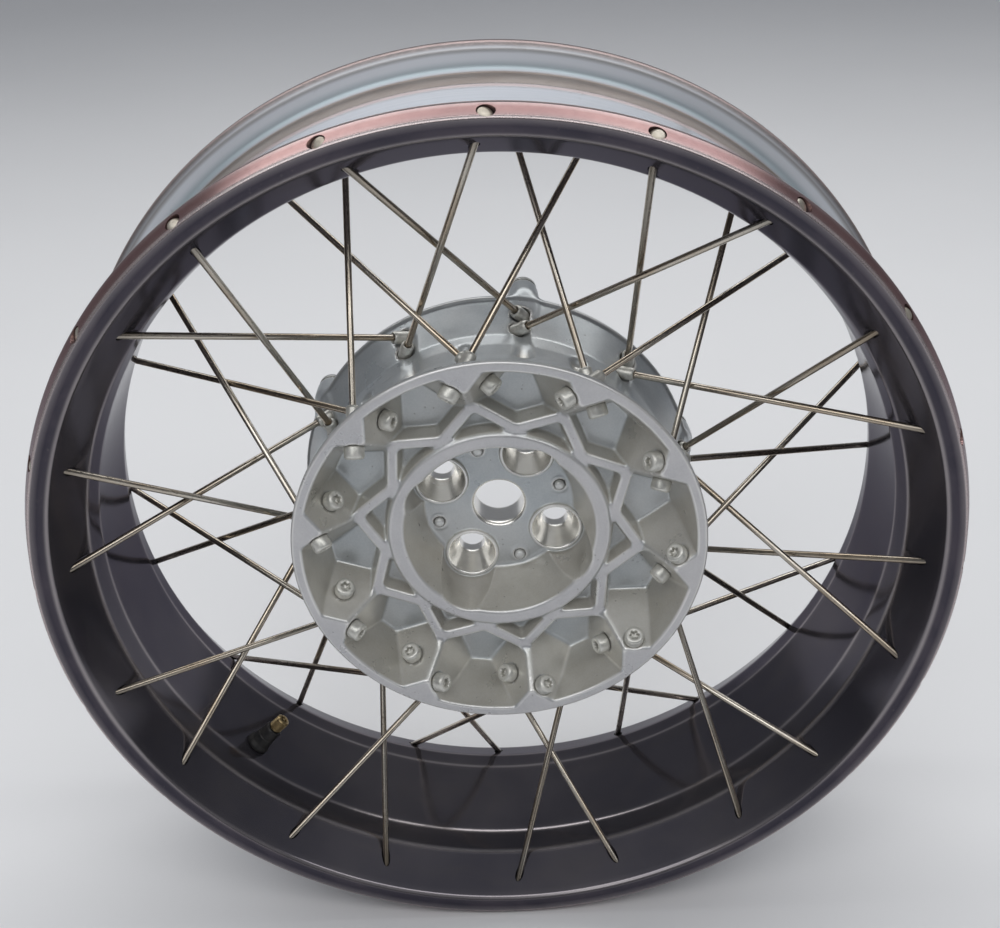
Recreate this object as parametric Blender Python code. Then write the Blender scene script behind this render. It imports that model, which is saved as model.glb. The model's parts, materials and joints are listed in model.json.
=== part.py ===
"""Spoked motorcycle wheel, 17 inch, rear, tubeless.

Forty straight-pull spokes sit in the outer edges of a wide aluminium rim, outside the tyre's bead
seats, and run across to the far flange of a cast hub. Each screws into a socket-head nipple that
lies in a pocket of the flange. The hub has four conical bolt seats around an open bore.

Frame: the spin axis is Y, the origin is the wheel's centre and Z is up. The front is -Y, where the
hub's dished bolt side faces; the rear is +Y. Angles are in degrees, from +X towards +Z. Lengths
are in millimetres until MM turns them into metres.
"""

import math
from collections import namedtuple

import bmesh
import bpy
from mathutils import Matrix, Vector

MM = 0.001
GAP = 0.32  # clearance between pieces that touch on the real wheel

# ---------------------------------------------------------------- rim dimensions
RIM_RADIUS = 232.5
RIM_SEGMENTS = 60
RIM_HALF_WIDTH = 68.0
WELL_OUTER_R = 208.2
WELL_INNER_R = 204.2
# half a section: radius, distance from the centre plane
RIM_HALF_SECTION = (
    (WELL_OUTER_R, 23.0),  # well floor, tyre side
    (217.6, 28.8),  # top of the well's wall, safety hump
    (217.2, 35.0),
    (218.8, 49.6),  # bead seat
    (220.4, 51.2),
    (229.6, 52.9),  # flange wall
    (RIM_RADIUS, 55.6),  # flange lip
    (RIM_RADIUS, 58.65),
    (229.4, 67.2),  # end of the chamfered band with the spoke holes
    (227.9, RIM_HALF_WIDTH),
    (222.4, 66.6),  # side face
    (220.2, 65.3),
    (218.5, 62.5),
    (206.55, 42.4),  # outer ridge of the hub side
    (WELL_INNER_R, 28.5),  # inner ridge
)

# ---------------------------------------------------------------- spoke dimensions
SPOKES_PER_SIDE = 20
SPOKE_PITCH = 360.0 / SPOKES_PER_SIDE
SPOKE_SIDES = 6
SPOKE_R = 1.85
SPOKE_HEAD_R = 3.6
SPOKE_HEAD_SUNK = 1.4  # head below the rim's chamfered band, along the spoke
SPOKE_HEAD_END = SPOKE_HEAD_SUNK + 2.4
SPOKE_HEAD_TAPER = 1.6  # length of the cone under the head
RIM_HOLE_R = 230.7  # where a spoke's axis crosses the chamfered band
RIM_HOLE_Y = 64.0
RIM_HOLE_START = -8.0  # extent of a rim hole's cutter along the spoke
RIM_HOLE_END = 40.0
HEAD_HOLE_CLEARANCE = 0.45
BORE_CLEARANCE = 0.4  # around a spoke in the rim and a nipple in the hub
WEB_LEAD = 27.0  # angle from a rim hole to the hub web its spoke goes through
NIPPLE_R = 3.4
NIPPLE_HEAD_R = 4.65
NIPPLE_HEAD_LEN = 6.0
NIPPLE_SEAT = 4.0  # from the head's reference point back to the facet it bears on
NIPPLE_BORE_BEFORE = 30.0  # extent of a nipple bore before and past the reference point
NIPPLE_BORE_PAST = 2.0
SOCKET_R = 2.1
SOCKET_DEPTH = 2.3

# lean: +1 towards growing angles; radius, y: the nipple head's reference point, y as distance from
# the centre plane; past_web: its angle past the web; clear_r: radius of the nipple's outer end
NippleHead = namedtuple("NippleHead", "letter lean radius y past_web clear_r")
HEADS = (  # for even rim holes, then for odd ones
    NippleHead("b", 1, 90.44, 38.8, 5.68, 104.9),
    NippleHead("a", -1, 87.14, 28.1, 8.24, 100.9),
)

# ---------------------------------------------------------------- hub dimensions
HUB_SEGMENTS = 50
WEBS = 10
WEB_STEP = 360.0 / WEBS
WEB_HALF_STEP = 180.0 / WEBS
FRONT_WEB_0 = WEB_LEAD  # angle of the front flange's first web
RING_R = 106.5
RING_Y = 41.5
RING_CHAMFER = 1.3
NODE_R = 75.2  # the star's ribs meet here, on the webs
APEX_R = 61.3  # and here, midway between webs
RIB_Y = 22.0
RIB_HALF = 2.3
# half of the outer profile: radius, distance from the centre plane
HUB_OUTER_HALF = (
    (NODE_R, RIB_Y),
    (92.0, RING_Y),  # tip of the webs
    (RING_R - RING_CHAMFER, RING_Y),
    (RING_R, RING_Y - RING_CHAMFER),
    (RING_R, RING_Y - 3.4),
    (104.9, RING_Y - 4.3),
    (95.4, 15.5),
    (94.0, 6.0),  # waist
)

# pockets between the webs, and windows inside the star
POCKET_WALL_R = 101.3  # outer wall at the ring's face
POCKET_FLOOR_WALL_R = 90.6  # outer wall at the floor
POCKET_FLOOR_Y = 11.5
POCKET_WALL_INSET = 0.15
POCKET_FLAT_STEP = 4.6  # angle between the outer wall's flats
POCKET_RIB_DRAFT = 8.0
WINDOW_FLOOR_Y = POCKET_FLOOR_Y + 1.0
WINDOW_DRAFT = 7.0

# valleys across the waist behind each web: (radius, y) of both ends of the axis
VALLEY_R = 4.4
VALLEY_START = (101.6, -24.0)
VALLEY_END = (94.7, 3.0)

# bolt side and bore; the cup's mouth is at the front, its floor behind the centre plane
CUP_RIM_R = 57.0
CUP_RIM_Y = 23.0  # distance in front of the centre plane
CUP_RIM_CHAMFER = 1.2
CUP_MOUTH_R = 50.4
CUP_FLOOR_R = 40.3
CUP_FLOOR_Y = 8.0
BORE_R = 13.3
BORE_CHAMFER = 1.0
DRIVE_FACE_Y = 27.0
DRIVE_FACE_R = 48.0

BOLTS = 4
BOLT_0 = 63.0
BOLT_CIRCLE_R = 34.4
BOLT_HOLE_R = 6.7
SEAT_MOUTH_R = 13.0
SEAT_MOUTH_Y = 6.5
SEAT_END_Y = 19.5
SEAT_OVERRUN = 2.0  # the seat's cone carried on past its mouth
BOSS_R = 15.3
LOBE_END_Y = 7.4

PIN_0 = 18.0
PIN_R = 2.75
PIN_TOP_Y = CUP_FLOOR_Y - 2.0
PIN_END_Y = 18.0

POSTS = 5
POST_0 = 9.0
POST_CIRCLE_R = 101.5
POST_END_Y = 60.2
POST_PROFILE = (  # radius, y
    (0, 29), (5.2, 29), (8.7, 41), (7.5, 57.0), (6.5, 57.6), (6.5, POST_END_Y), (0, POST_END_Y),
)
INSERT_START_Y = 48.0
INSERT_END_Y = 63.0

# ---------------------------------------------------------------- valve dimensions
VALVE_ANGLE = 225.0
VALVE_Y = -14.0
VALVE_HOLE_R = 5.75
VALVE_TIP = 25.2  # from the well's hub side towards the spin axis
VALVE_BARREL_START = 12.0
WELL_WALL = WELL_OUTER_R - WELL_INNER_R
# closed rings: radius, distance from the well's hub side towards the spin axis
VALVE_RUBBER_PROFILE = (
    # flange inside the tyre
    (3.3, -WELL_WALL - 5.2), (6.6, -WELL_WALL - 5.2),
    (7.7, -WELL_WALL - 3.4), (7.7, -WELL_WALL - 0.45),
    # neck through the rim
    (5.4, -WELL_WALL - 0.45), (5.4, 0.75),
    # tapered sleeve on the hub side
    (6.9, 0.75), (6.9, 2.6), (5.6, 6.5), (5.0, 16.6), (3.3, 16.6),
)
VALVE_STEM_PROFILE = (
    (1.95, -WELL_WALL - 4.6), (2.9, -WELL_WALL - 4.6), (2.9, 17.0),
    (3.85, 17.0), (3.85, 21.4), (3.0, 22.2),  # collar
    (2.6, 22.4), (2.6, VALVE_TIP), (1.95, VALVE_TIP),
)
VALVE_CORE_PROFILE = (
    (0.85, VALVE_BARREL_START), (1.55, VALVE_BARREL_START),
    (1.55, VALVE_TIP - 1.0), (0.85, VALVE_TIP - 1.0),
)
# open chain, columns as above
VALVE_PIN_PROFILE = (
    (0, 8.0), (1.4, 8.0), (1.4, VALVE_BARREL_START - GAP),  # seal beyond the barrel's end
    (0.45, VALVE_BARREL_START - GAP), (0.45, VALVE_TIP - 0.7),
    (0.75, VALVE_TIP - 0.6), (0.75, VALVE_TIP - 0.2), (0, VALVE_TIP - 0.2),  # button
)

MATERIALS = {  # name: (colour, metallic, roughness)
    "anodised_rim": ((0.055, 0.052, 0.06), 0.9, 0.32),
    "cast_hub": ((0.47, 0.49, 0.5), 0.75, 0.45),
    "stainless_spoke": ((0.55, 0.53, 0.49), 1.0, 0.25),
    "zinc_pin": ((0.6, 0.61, 0.6), 1.0, 0.3),
    "steel_insert": ((0.5, 0.51, 0.52), 1.0, 0.35),
    "valve_rubber": ((0.012, 0.012, 0.012), 0.0, 0.7),
    "valve_brass": ((0.42, 0.27, 0.09), 1.0, 0.35),
}
SMOOTH_ANGLE = 30.0  # edges sharper than this stay hard

# ---------------------------------------------------------------- frames
IDENTITY = Matrix.Identity(4)
# local +Z laid along the wheel's +Y
ALONG_Y = Matrix.Rotation(-math.pi / 2, 4, "X")
# the rear flange is the front flange turned half a turn about a radius
FLANGE_TURNS = {"front": IDENTITY, "rear": Matrix.Rotation(math.pi, 4, "X")}


def polar(radius, y, degrees):
    angle = math.radians(degrees)
    return Vector((radius * math.cos(angle), y, radius * math.sin(angle)))


def turn_to(degrees, size=4):
    """Turns +X to the given wheel angle."""
    return Matrix.Rotation(-math.radians(degrees), size, "Y")


def axis_frame(start, end):
    """A frame at start whose +Z points at end."""
    quat = (end - start).normalized().to_track_quat("Z", "Y")
    return Matrix.Translation(start * MM) @ quat.to_matrix().to_4x4()


def circle_places(count, radius, first_angle):
    """Translations to points spaced evenly round a circle in the centre plane."""
    return [
        Matrix.Translation(polar(radius, 0, first_angle + 360 / count * i) * MM)
        for i in range(count)
    ]


def bolt_places():
    return circle_places(BOLTS, BOLT_CIRCLE_R, BOLT_0)


def pin_places():
    return circle_places(BOLTS, BOLT_CIRCLE_R, PIN_0)


def post_places():
    return circle_places(POSTS, POST_CIRCLE_R, POST_0)


# ---------------------------------------------------------------- meshes
def turned(bm, profile, segments, matrix=IDENTITY, phase=0.5, closed=False):
    """Adds a body turned about local Z to bm.

    profile: (radius, z) points, an open chain with both ends on the axis, or a closed ring.
    phase: how far the first corner is turned, as a share of one segment.
    """
    rings = []
    for radius, z in profile:
        if radius == 0:
            rings.append([bm.verts.new((0, 0, z * MM))])
            continue
        ring = []
        for i in range(segments):
            angle = 2 * math.pi * (i + phase) / segments
            x = radius * math.cos(angle) * MM
            y = radius * math.sin(angle) * MM
            ring.append(bm.verts.new((x, y, z * MM)))
        rings.append(ring)
    pairs = list(zip(rings[:-1], rings[1:]))
    if closed:
        pairs.append((rings[-1], rings[0]))
    for lower, upper in pairs:
        for i in range(segments):
            j = (i + 1) % segments
            if len(lower) == 1:
                bm.faces.new((lower[0], upper[i], upper[j]))
            elif len(upper) == 1:
                bm.faces.new((lower[i], upper[0], lower[j]))
            else:
                bm.faces.new((lower[i], upper[i], upper[j], lower[j]))
    bmesh.ops.transform(bm, matrix=matrix, verts=[v for ring in rings for v in ring])


def cylinder(radius, start, end):
    """Profile of a plain cylinder for turned()."""
    return ((0, start), (radius, start), (radius, end), (0, end))


def mesh_from(bm, name):
    bmesh.ops.recalc_face_normals(bm, faces=bm.faces)
    mesh = bpy.data.meshes.new(name)
    bm.to_mesh(mesh)
    bm.free()
    mesh.shade_smooth()
    mesh.set_sharp_from_angle(angle=math.radians(SMOOTH_ANGLE))
    return mesh


def turned_mesh(name, bodies, segments, phase=0.5, closed=False):
    """One mesh of turned bodies, each given as (profile, frame)."""
    bm = bmesh.new()
    for profile, frame in bodies:
        turned(bm, profile, segments, frame, phase, closed)
    return mesh_from(bm, name)


def plane_solid(bm, planes, matrix, centre, half_size):
    """Adds the convex body left of a box after cutting it with each (point, outward normal)."""
    part = bmesh.new()
    bmesh.ops.create_cube(part, size=2.0)
    box = Matrix.Translation(Vector(centre)) @ Matrix.Diagonal((*half_size, 1.0))
    bmesh.ops.transform(part, matrix=box, verts=part.verts)
    for point, normal in planes:
        bmesh.ops.bisect_plane(
            part,
            geom=part.verts[:] + part.edges[:] + part.faces[:],
            dist=1e-7,
            plane_co=Vector(point),
            plane_no=Vector(normal),
            clear_outer=True,
        )
        opening = [e for e in part.edges if e.is_boundary]
        if opening:
            bmesh.ops.contextual_create(part, geom=opening)
    bmesh.ops.recalc_face_normals(part, faces=part.faces)
    bmesh.ops.transform(part, matrix=Matrix.Scale(MM, 4), verts=part.verts)
    bmesh.ops.transform(part, matrix=matrix, verts=part.verts)
    # a bmesh can only take in another one by way of a mesh
    temp = bpy.data.meshes.new("temp")
    part.to_mesh(temp)
    part.free()
    bm.from_mesh(temp)
    bpy.data.meshes.remove(temp)


# ---------------------------------------------------------------- objects
def clear_scene():
    for ob in list(bpy.data.objects):
        bpy.data.objects.remove(ob, do_unlink=True)


def material(name):
    mat = bpy.data.materials.get(name)
    if mat is None:
        colour, metallic, roughness = MATERIALS[name]
        mat = bpy.data.materials.new(name)
        mat.use_nodes = True
        bsdf = mat.node_tree.nodes["Principled BSDF"]
        bsdf.inputs["Base Color"].default_value = (*colour, 1.0)
        bsdf.inputs["Metallic"].default_value = metallic
        bsdf.inputs["Roughness"].default_value = roughness
        mat.diffuse_color = (*colour, 1.0)
    return mat


def place_object(name, mesh, matrix):
    ob = bpy.data.objects.new(name, mesh)
    bpy.context.scene.collection.objects.link(ob)
    ob.matrix_world = matrix
    return ob


def add_piece(name, mesh, material_name, matrix=IDENTITY):
    if not mesh.materials:  # a shared mesh gets its material once
        mesh.materials.append(material(material_name))
    return place_object(name, mesh, matrix)


def add_boolean(target, tool_name, mesh, modifier_name, operation="DIFFERENCE", matrix=IDENTITY):
    """Cuts a hidden tool object from the target, or joins it on with UNION."""
    tool = place_object(tool_name, mesh, matrix)
    tool.hide_render = True
    tool.display_type = "WIRE"
    mod = target.modifiers.new(modifier_name, "BOOLEAN")
    mod.operation = operation
    mod.object = tool


# ---------------------------------------------------------------- spokes
def spoke_ends(k):
    """Rim and hub ends of the spoke from rear rim hole k to the front flange."""
    head = HEADS[k % 2]
    hole_angle = SPOKE_PITCH * k
    rim_end = polar(RIM_HOLE_R, RIM_HOLE_Y, hole_angle)
    hub_angle = hole_angle + head.lean * WEB_LEAD + head.lean * head.past_web
    return rim_end, polar(head.radius, -head.y, hub_angle)


def length_at_radius(rim_end, hub_end, radius):
    """Distance from the rim end to where the spoke's axis reaches a radius."""
    along = (hub_end - rim_end).normalized()
    # quadratic in the distance: a * t^2 + b * t + c = 0
    a = along.x * along.x + along.z * along.z
    b = 2 * (rim_end.x * along.x + rim_end.z * along.z)
    c = rim_end.x**2 + rim_end.z**2 - radius**2
    return (-b - math.sqrt(b * b - 4 * a * c)) / (2 * a)


def spoke_profile(length, nipple_start):
    """Spoke and nipple in one, from the rim end towards the hub."""
    under_head = length - NIPPLE_SEAT + GAP
    end = length - NIPPLE_SEAT + NIPPLE_HEAD_LEN
    return (
        (0.0, SPOKE_HEAD_SUNK),
        (SPOKE_HEAD_R, SPOKE_HEAD_SUNK),
        (SPOKE_HEAD_R, SPOKE_HEAD_END),
        (SPOKE_R, SPOKE_HEAD_END + SPOKE_HEAD_TAPER),
        (SPOKE_R, nipple_start),
        (NIPPLE_R, nipple_start + 1.0),
        (NIPPLE_R, under_head),
        (NIPPLE_HEAD_R, under_head),
        (NIPPLE_HEAD_R, end),
        (SOCKET_R, end),
        (0.0, end - SOCKET_DEPTH),
    )


def spoke_mesh(k):
    head = HEADS[k % 2]
    rim_end, hub_end = spoke_ends(k)
    nipple_start = length_at_radius(rim_end, hub_end, head.clear_r)
    profile = spoke_profile((hub_end - rim_end).length, nipple_start)
    return turned_mesh(f"spoke_{head.letter}", [(profile, IDENTITY)], SPOKE_SIDES)


def add_spokes():
    """A spoke is named after the rim edge that holds its head; its nipple is in the far flange."""
    meshes = [spoke_mesh(k) for k in (0, 1)]
    for edge, flange in (("front", "rear"), ("rear", "front")):
        for k in range(SPOKES_PER_SIDE):
            frame = FLANGE_TURNS[flange] @ axis_frame(*spoke_ends(k))
            add_piece(f"spoke_{edge}_{k + 1:02d}", meshes[k % 2], "stainless_spoke", frame)


# ---------------------------------------------------------------- rim
def rim_spoke_holes():
    """Stepped holes, drilled along each spoke."""
    head_hole_r = SPOKE_HEAD_R + HEAD_HOLE_CLEARANCE
    spoke_hole_r = SPOKE_R + BORE_CLEARANCE
    profile = (
        (0.0, RIM_HOLE_START),
        (head_hole_r, RIM_HOLE_START),
        (head_hole_r, SPOKE_HEAD_END + GAP * 0.5),
        (spoke_hole_r, SPOKE_HEAD_END + SPOKE_HEAD_TAPER + GAP),
        (spoke_hole_r, RIM_HOLE_END),
        (0.0, RIM_HOLE_END),
    )
    bodies = [
        (profile, turn @ axis_frame(*spoke_ends(k)))
        for turn in FLANGE_TURNS.values()
        for k in range(SPOKES_PER_SIDE)
    ]
    return turned_mesh("cut_rim_spoke_holes", bodies, SPOKE_SIDES)


def build_rim():
    section = RIM_HALF_SECTION + tuple((r, -y) for r, y in reversed(RIM_HALF_SECTION))
    mesh = turned_mesh("rim", [(section, ALONG_Y)], RIM_SEGMENTS, closed=True)
    rim = add_piece("rim", mesh, "anodised_rim")
    add_boolean(rim, "cut_rim_spoke_holes", rim_spoke_holes(), "spoke_holes")
    hole = [(cylinder(VALVE_HOLE_R, -15, 15), valve_frame())]
    mesh = turned_mesh("cut_rim_valve_hole", hole, segments=16)
    add_boolean(rim, "cut_rim_valve_hole", mesh, "valve_hole")


# ---------------------------------------------------------------- hub
def hub_section():
    front = (
        (BORE_R, CUP_FLOOR_Y + BORE_CHAMFER),
        (BORE_R + BORE_CHAMFER, CUP_FLOOR_Y),
        (CUP_FLOOR_R, CUP_FLOOR_Y),
        (CUP_MOUTH_R, -(CUP_RIM_Y - CUP_RIM_CHAMFER)),
        (CUP_MOUTH_R + CUP_RIM_CHAMFER, -CUP_RIM_Y),
        (CUP_RIM_R, -CUP_RIM_Y),
        (CUP_RIM_R + 1.0, -RIB_Y),
    )
    rear = (
        (DRIVE_FACE_R + 3.0, RIB_Y),
        (DRIVE_FACE_R, DRIVE_FACE_Y),
        (BORE_R + BORE_CHAMFER, DRIVE_FACE_Y),
        (BORE_R, DRIVE_FACE_Y - BORE_CHAMFER),
    )
    outer = tuple((r, -y) for r, y in HUB_OUTER_HALF) + HUB_OUTER_HALF[::-1]
    return front + outer + rear


def facet_plane(k):
    """The pocket wall under spoke k's nipple head, square to the spoke, with the spoke's web
    turned to angle 0: a point and the direction out of the pocket."""
    rim_end, hub_end = spoke_ends(k)
    web = SPOKE_PITCH * k + HEADS[k].lean * WEB_LEAD
    back = turn_to(-web, size=3)
    along = back @ (hub_end - rim_end).normalized()
    return back @ hub_end - along * NIPPLE_SEAT, -along


def rib_wall(start, end, outward, draft_angle):
    """A drafted pocket wall along the rib from start to end: a point and the normal out of the
    pocket. outward is +1 where that points away from the spin axis, -1 where towards it."""
    along = (end - start).normalized()
    out = Vector((along.z, 0, -along.x))
    if out.x * outward < 0:
        out = -out
    draft = math.radians(draft_angle)
    normal = (out * math.cos(draft) + Vector((0, math.sin(draft), 0))).normalized()
    return start - out * RIB_HALF, normal


def big_pocket(bm, centre_angle):
    """A front pocket between two webs, outside the star's ribs."""
    planes = [((0, -POCKET_FLOOR_Y, 0), (0, 1, 0))]
    # drafted outer wall, laid round the ring in short flats
    draft = math.atan2(POCKET_WALL_R - POCKET_FLOOR_WALL_R, RING_Y - POCKET_FLOOR_Y)
    for i in range(-2, 3):
        flat = i * POCKET_FLAT_STEP
        angle = math.radians(flat)
        normal = (
            math.cos(angle) * math.cos(draft),
            math.sin(draft),
            math.sin(angle) * math.cos(draft),
        )
        planes.append((polar(POCKET_WALL_R - POCKET_WALL_INSET, -RING_Y, flat), normal))
    # the two facets that carry nipple heads
    for k, web in ((0, -WEB_HALF_STEP), (1, WEB_HALF_STEP)):
        point, normal = facet_plane(k)
        turn = turn_to(web, size=3)
        planes.append((turn @ point, turn @ normal))
    apex = polar(APEX_R, -RIB_Y, 0.0)
    for sign in (1, -1):
        node = polar(NODE_R, -RIB_Y, sign * WEB_HALF_STEP)
        planes.append(rib_wall(apex, node, -1, POCKET_RIB_DRAFT))
    plane_solid(bm, planes, turn_to(centre_angle), centre=(80, -22, 0), half_size=(60, 24.7, 60))


def star_window(bm, web_angle):
    """A small front pocket between the cup's rim and the two ribs that meet on a web."""
    tilt = math.radians(WINDOW_DRAFT)
    planes = [
        ((0, -WINDOW_FLOOR_Y, 0), (0, 1, 0)),
        ((CUP_RIM_R + 1.6, -RIB_Y, 0), (-math.cos(tilt), math.sin(tilt), 0)),
    ]
    node = polar(NODE_R, -RIB_Y, 0.0)
    for sign in (1, -1):
        apex = polar(APEX_R, -RIB_Y, sign * WEB_HALF_STEP)
        planes.append(rib_wall(node, apex, 1, WINDOW_DRAFT))
    plane_solid(bm, planes, turn_to(web_angle), centre=(66, -12, 0), half_size=(30, 12.3, 30))


def add_posts(hub):
    """Brake disc posts on the rear ring."""
    bodies = [(POST_PROFILE, place @ ALONG_Y) for place in post_places()]
    mesh = turned_mesh("add_disc_posts", bodies, segments=14, phase=0.33)
    add_boolean(hub, "add_disc_posts", mesh, "disc_posts", "UNION")


def add_bolt_seats(hub):
    """Cup lobes that clear the bolt heads, then the raised bosses for the conical seats."""
    frames = [place @ ALONG_Y for place in bolt_places()]
    lobe = ((0, -40), (18.4, -40), (BOSS_R + 0.4, LOBE_END_Y), (0, LOBE_END_Y))
    mesh = turned_mesh("cut_cup_lobes", [(lobe, f) for f in frames], segments=22, phase=0.21)
    add_boolean(hub, "cut_cup_lobes", mesh, "cup_lobes")
    boss = ((0, SEAT_MOUTH_Y), (BOSS_R - 0.6, SEAT_MOUTH_Y), (BOSS_R, 9.5), (0, 12))
    mesh = turned_mesh("add_seat_bosses", [(boss, f) for f in frames], segments=20)
    add_boolean(hub, "add_seat_bosses", mesh, "seat_bosses", "UNION")


def cut_both_flanges(hub, mesh, name):
    """Cuts with a front tool and its copy at the rear; {} in name takes the side."""
    for side, turn in FLANGE_TURNS.items():
        tool = name.format(side)
        add_boolean(hub, "cut_" + tool, mesh, tool, matrix=turn)


def cut_pockets(hub):
    for parity in (0, 1):  # every second pocket in the same cutter
        bm = bmesh.new()
        for i in range(parity, WEBS, 2):
            big_pocket(bm, FRONT_WEB_0 - WEB_STEP / 2 + WEB_STEP * i)
        cut_both_flanges(hub, mesh_from(bm, f"cut_pockets_{parity}"), f"pockets_{{}}_{parity}")
    bm = bmesh.new()
    for i in range(WEBS):
        star_window(bm, FRONT_WEB_0 + WEB_STEP * i)
    cut_both_flanges(hub, mesh_from(bm, "cut_star_windows"), "star_{}")


def cut_valleys(hub):
    """Shallow valleys across the waist behind each web."""
    bodies = []
    for turn in FLANGE_TURNS.values():
        for i in range(WEBS):
            web = FRONT_WEB_0 + WEB_STEP * i
            start = polar(*VALLEY_START, web)
            end = polar(*VALLEY_END, web)
            valley = cylinder(VALLEY_R, 0, (end - start).length)
            bodies.append((valley, turn @ axis_frame(start, end)))
    mesh = turned_mesh("cut_waist_valleys", bodies, segments=10, phase=0.29)
    add_boolean(hub, "cut_waist_valleys", mesh, "waist_valleys")


def cut_nipple_bores(hub):
    """One cutter for each head type, so that crossing bores never share a cutter."""
    for parity, head in enumerate(HEADS):
        bodies = []
        for turn in FLANGE_TURNS.values():
            for k in range(parity, SPOKES_PER_SIDE, 2):
                rim_end, hub_end = spoke_ends(k)
                length = (hub_end - rim_end).length
                bore = cylinder(
                    NIPPLE_R + BORE_CLEARANCE,
                    length - NIPPLE_BORE_BEFORE,
                    length + NIPPLE_BORE_PAST,
                )
                bodies.append((bore, turn @ axis_frame(rim_end, hub_end)))
        name = f"nipple_bores_{head.letter}"
        add_boolean(hub, "cut_" + name, turned_mesh("cut_" + name, bodies, SPOKE_SIDES), name)


def cut_drillings(hub):
    """Conical seats with their bolt holes, pin holes and post bores."""
    slope = (SEAT_MOUTH_R - BOLT_HOLE_R) / (SEAT_END_Y - SEAT_MOUTH_Y)
    seat_start = SEAT_MOUTH_Y - SEAT_OVERRUN
    seat = (
        (0, seat_start),
        (SEAT_MOUTH_R + SEAT_OVERRUN * slope, seat_start),
        (BOLT_HOLE_R, SEAT_END_Y),
        (BOLT_HOLE_R, 40),
        (0, 40),
    )
    pin_hole = cylinder(PIN_R + 0.35, 2, 18.4)
    post_bore = cylinder(4.8, 47.6, 66)
    bm = bmesh.new()
    for profile, places, segments in (
        (seat, bolt_places(), 20),
        (pin_hole, pin_places(), 10),
        (post_bore, post_places(), 12),
    ):
        for place in places:
            turned(bm, profile, segments, place @ ALONG_Y)
    add_boolean(hub, "cut_hub_drillings", mesh_from(bm, "cut_hub_drillings"), "drillings")


def build_hub():
    section = [(hub_section(), ALONG_Y)]
    mesh = turned_mesh("hub", section, HUB_SEGMENTS, phase=0.37, closed=True)
    hub = add_piece("hub", mesh, "cast_hub")
    add_posts(hub)
    add_bolt_seats(hub)
    cut_pockets(hub)
    cut_valleys(hub)
    cut_nipple_bores(hub)
    cut_drillings(hub)


# ---------------------------------------------------------------- pins and inserts
def add_pins():
    """Round-ended dowel pins between the bolt seats."""
    profile = (
        (0, PIN_TOP_Y - 0.6),
        (PIN_R * 0.55, PIN_TOP_Y - 0.45),
        (PIN_R * 0.9, PIN_TOP_Y),
        (PIN_R, PIN_TOP_Y + 0.7),
        (PIN_R, PIN_END_Y),
        (0, PIN_END_Y),
    )
    mesh = turned_mesh("dowel_pin", [(profile, ALONG_Y)], segments=10)
    for i, place in enumerate(pin_places()):
        add_piece(f"dowel_pin_{i + 1}", mesh, "zinc_pin", place)


def add_inserts():
    """Flanged bushes in the brake disc posts."""
    flange_y = POST_END_Y + GAP
    profile = (
        (4.4, INSERT_START_Y),
        (4.4, flange_y),
        (6.9, flange_y),
        (6.9, INSERT_END_Y),
        (3.6, INSERT_END_Y),
        (3.6, INSERT_START_Y),
    )
    mesh = turned_mesh("disc_insert", [(profile, ALONG_Y)], segments=12, closed=True)
    for i, place in enumerate(post_places()):
        add_piece(f"disc_insert_{i + 1}", mesh, "steel_insert", place)


# ---------------------------------------------------------------- valve
def valve_frame():
    """Origin on the well's hub side, +Z towards the spin axis."""
    start = polar(WELL_INNER_R, VALVE_Y, VALVE_ANGLE)
    return axis_frame(start, polar(0.0, VALVE_Y, VALVE_ANGLE))


def add_valve():
    """Rubber body, brass stem, core barrel in the stem's mouth, and the pin through the barrel."""
    for name, material_name, profile, segments, closed in (
        ("valve_rubber", "valve_rubber", VALVE_RUBBER_PROFILE, 14, True),
        ("valve_stem", "valve_brass", VALVE_STEM_PROFILE, 14, True),
        ("valve_core", "valve_brass", VALVE_CORE_PROFILE, 12, True),
        ("valve_core_pin", "valve_brass", VALVE_PIN_PROFILE, 10, False),
    ):
        mesh = turned_mesh(name, [(profile, IDENTITY)], segments, closed=closed)
        add_piece(name, mesh, material_name, valve_frame())


clear_scene()
build_rim()
build_hub()
add_spokes()
add_pins()
add_inserts()
add_valve()
bpy.context.view_layer.update()
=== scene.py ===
"""Looks of the spoked motorcycle wheel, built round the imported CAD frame.

Spin axis Y, dished bolt side towards -Y, Z up. Lengths in millimetres unless they go to Blender.
The hub is one cast surface taken from a distance field on a polar grid, so every pocket, rib and
post has its fillets; the rim, spokes, nipples and valve are turned profiles.
"""

import json
import math

import bmesh
import bpy
import numpy as np
from mathutils import Matrix, Vector

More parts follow.
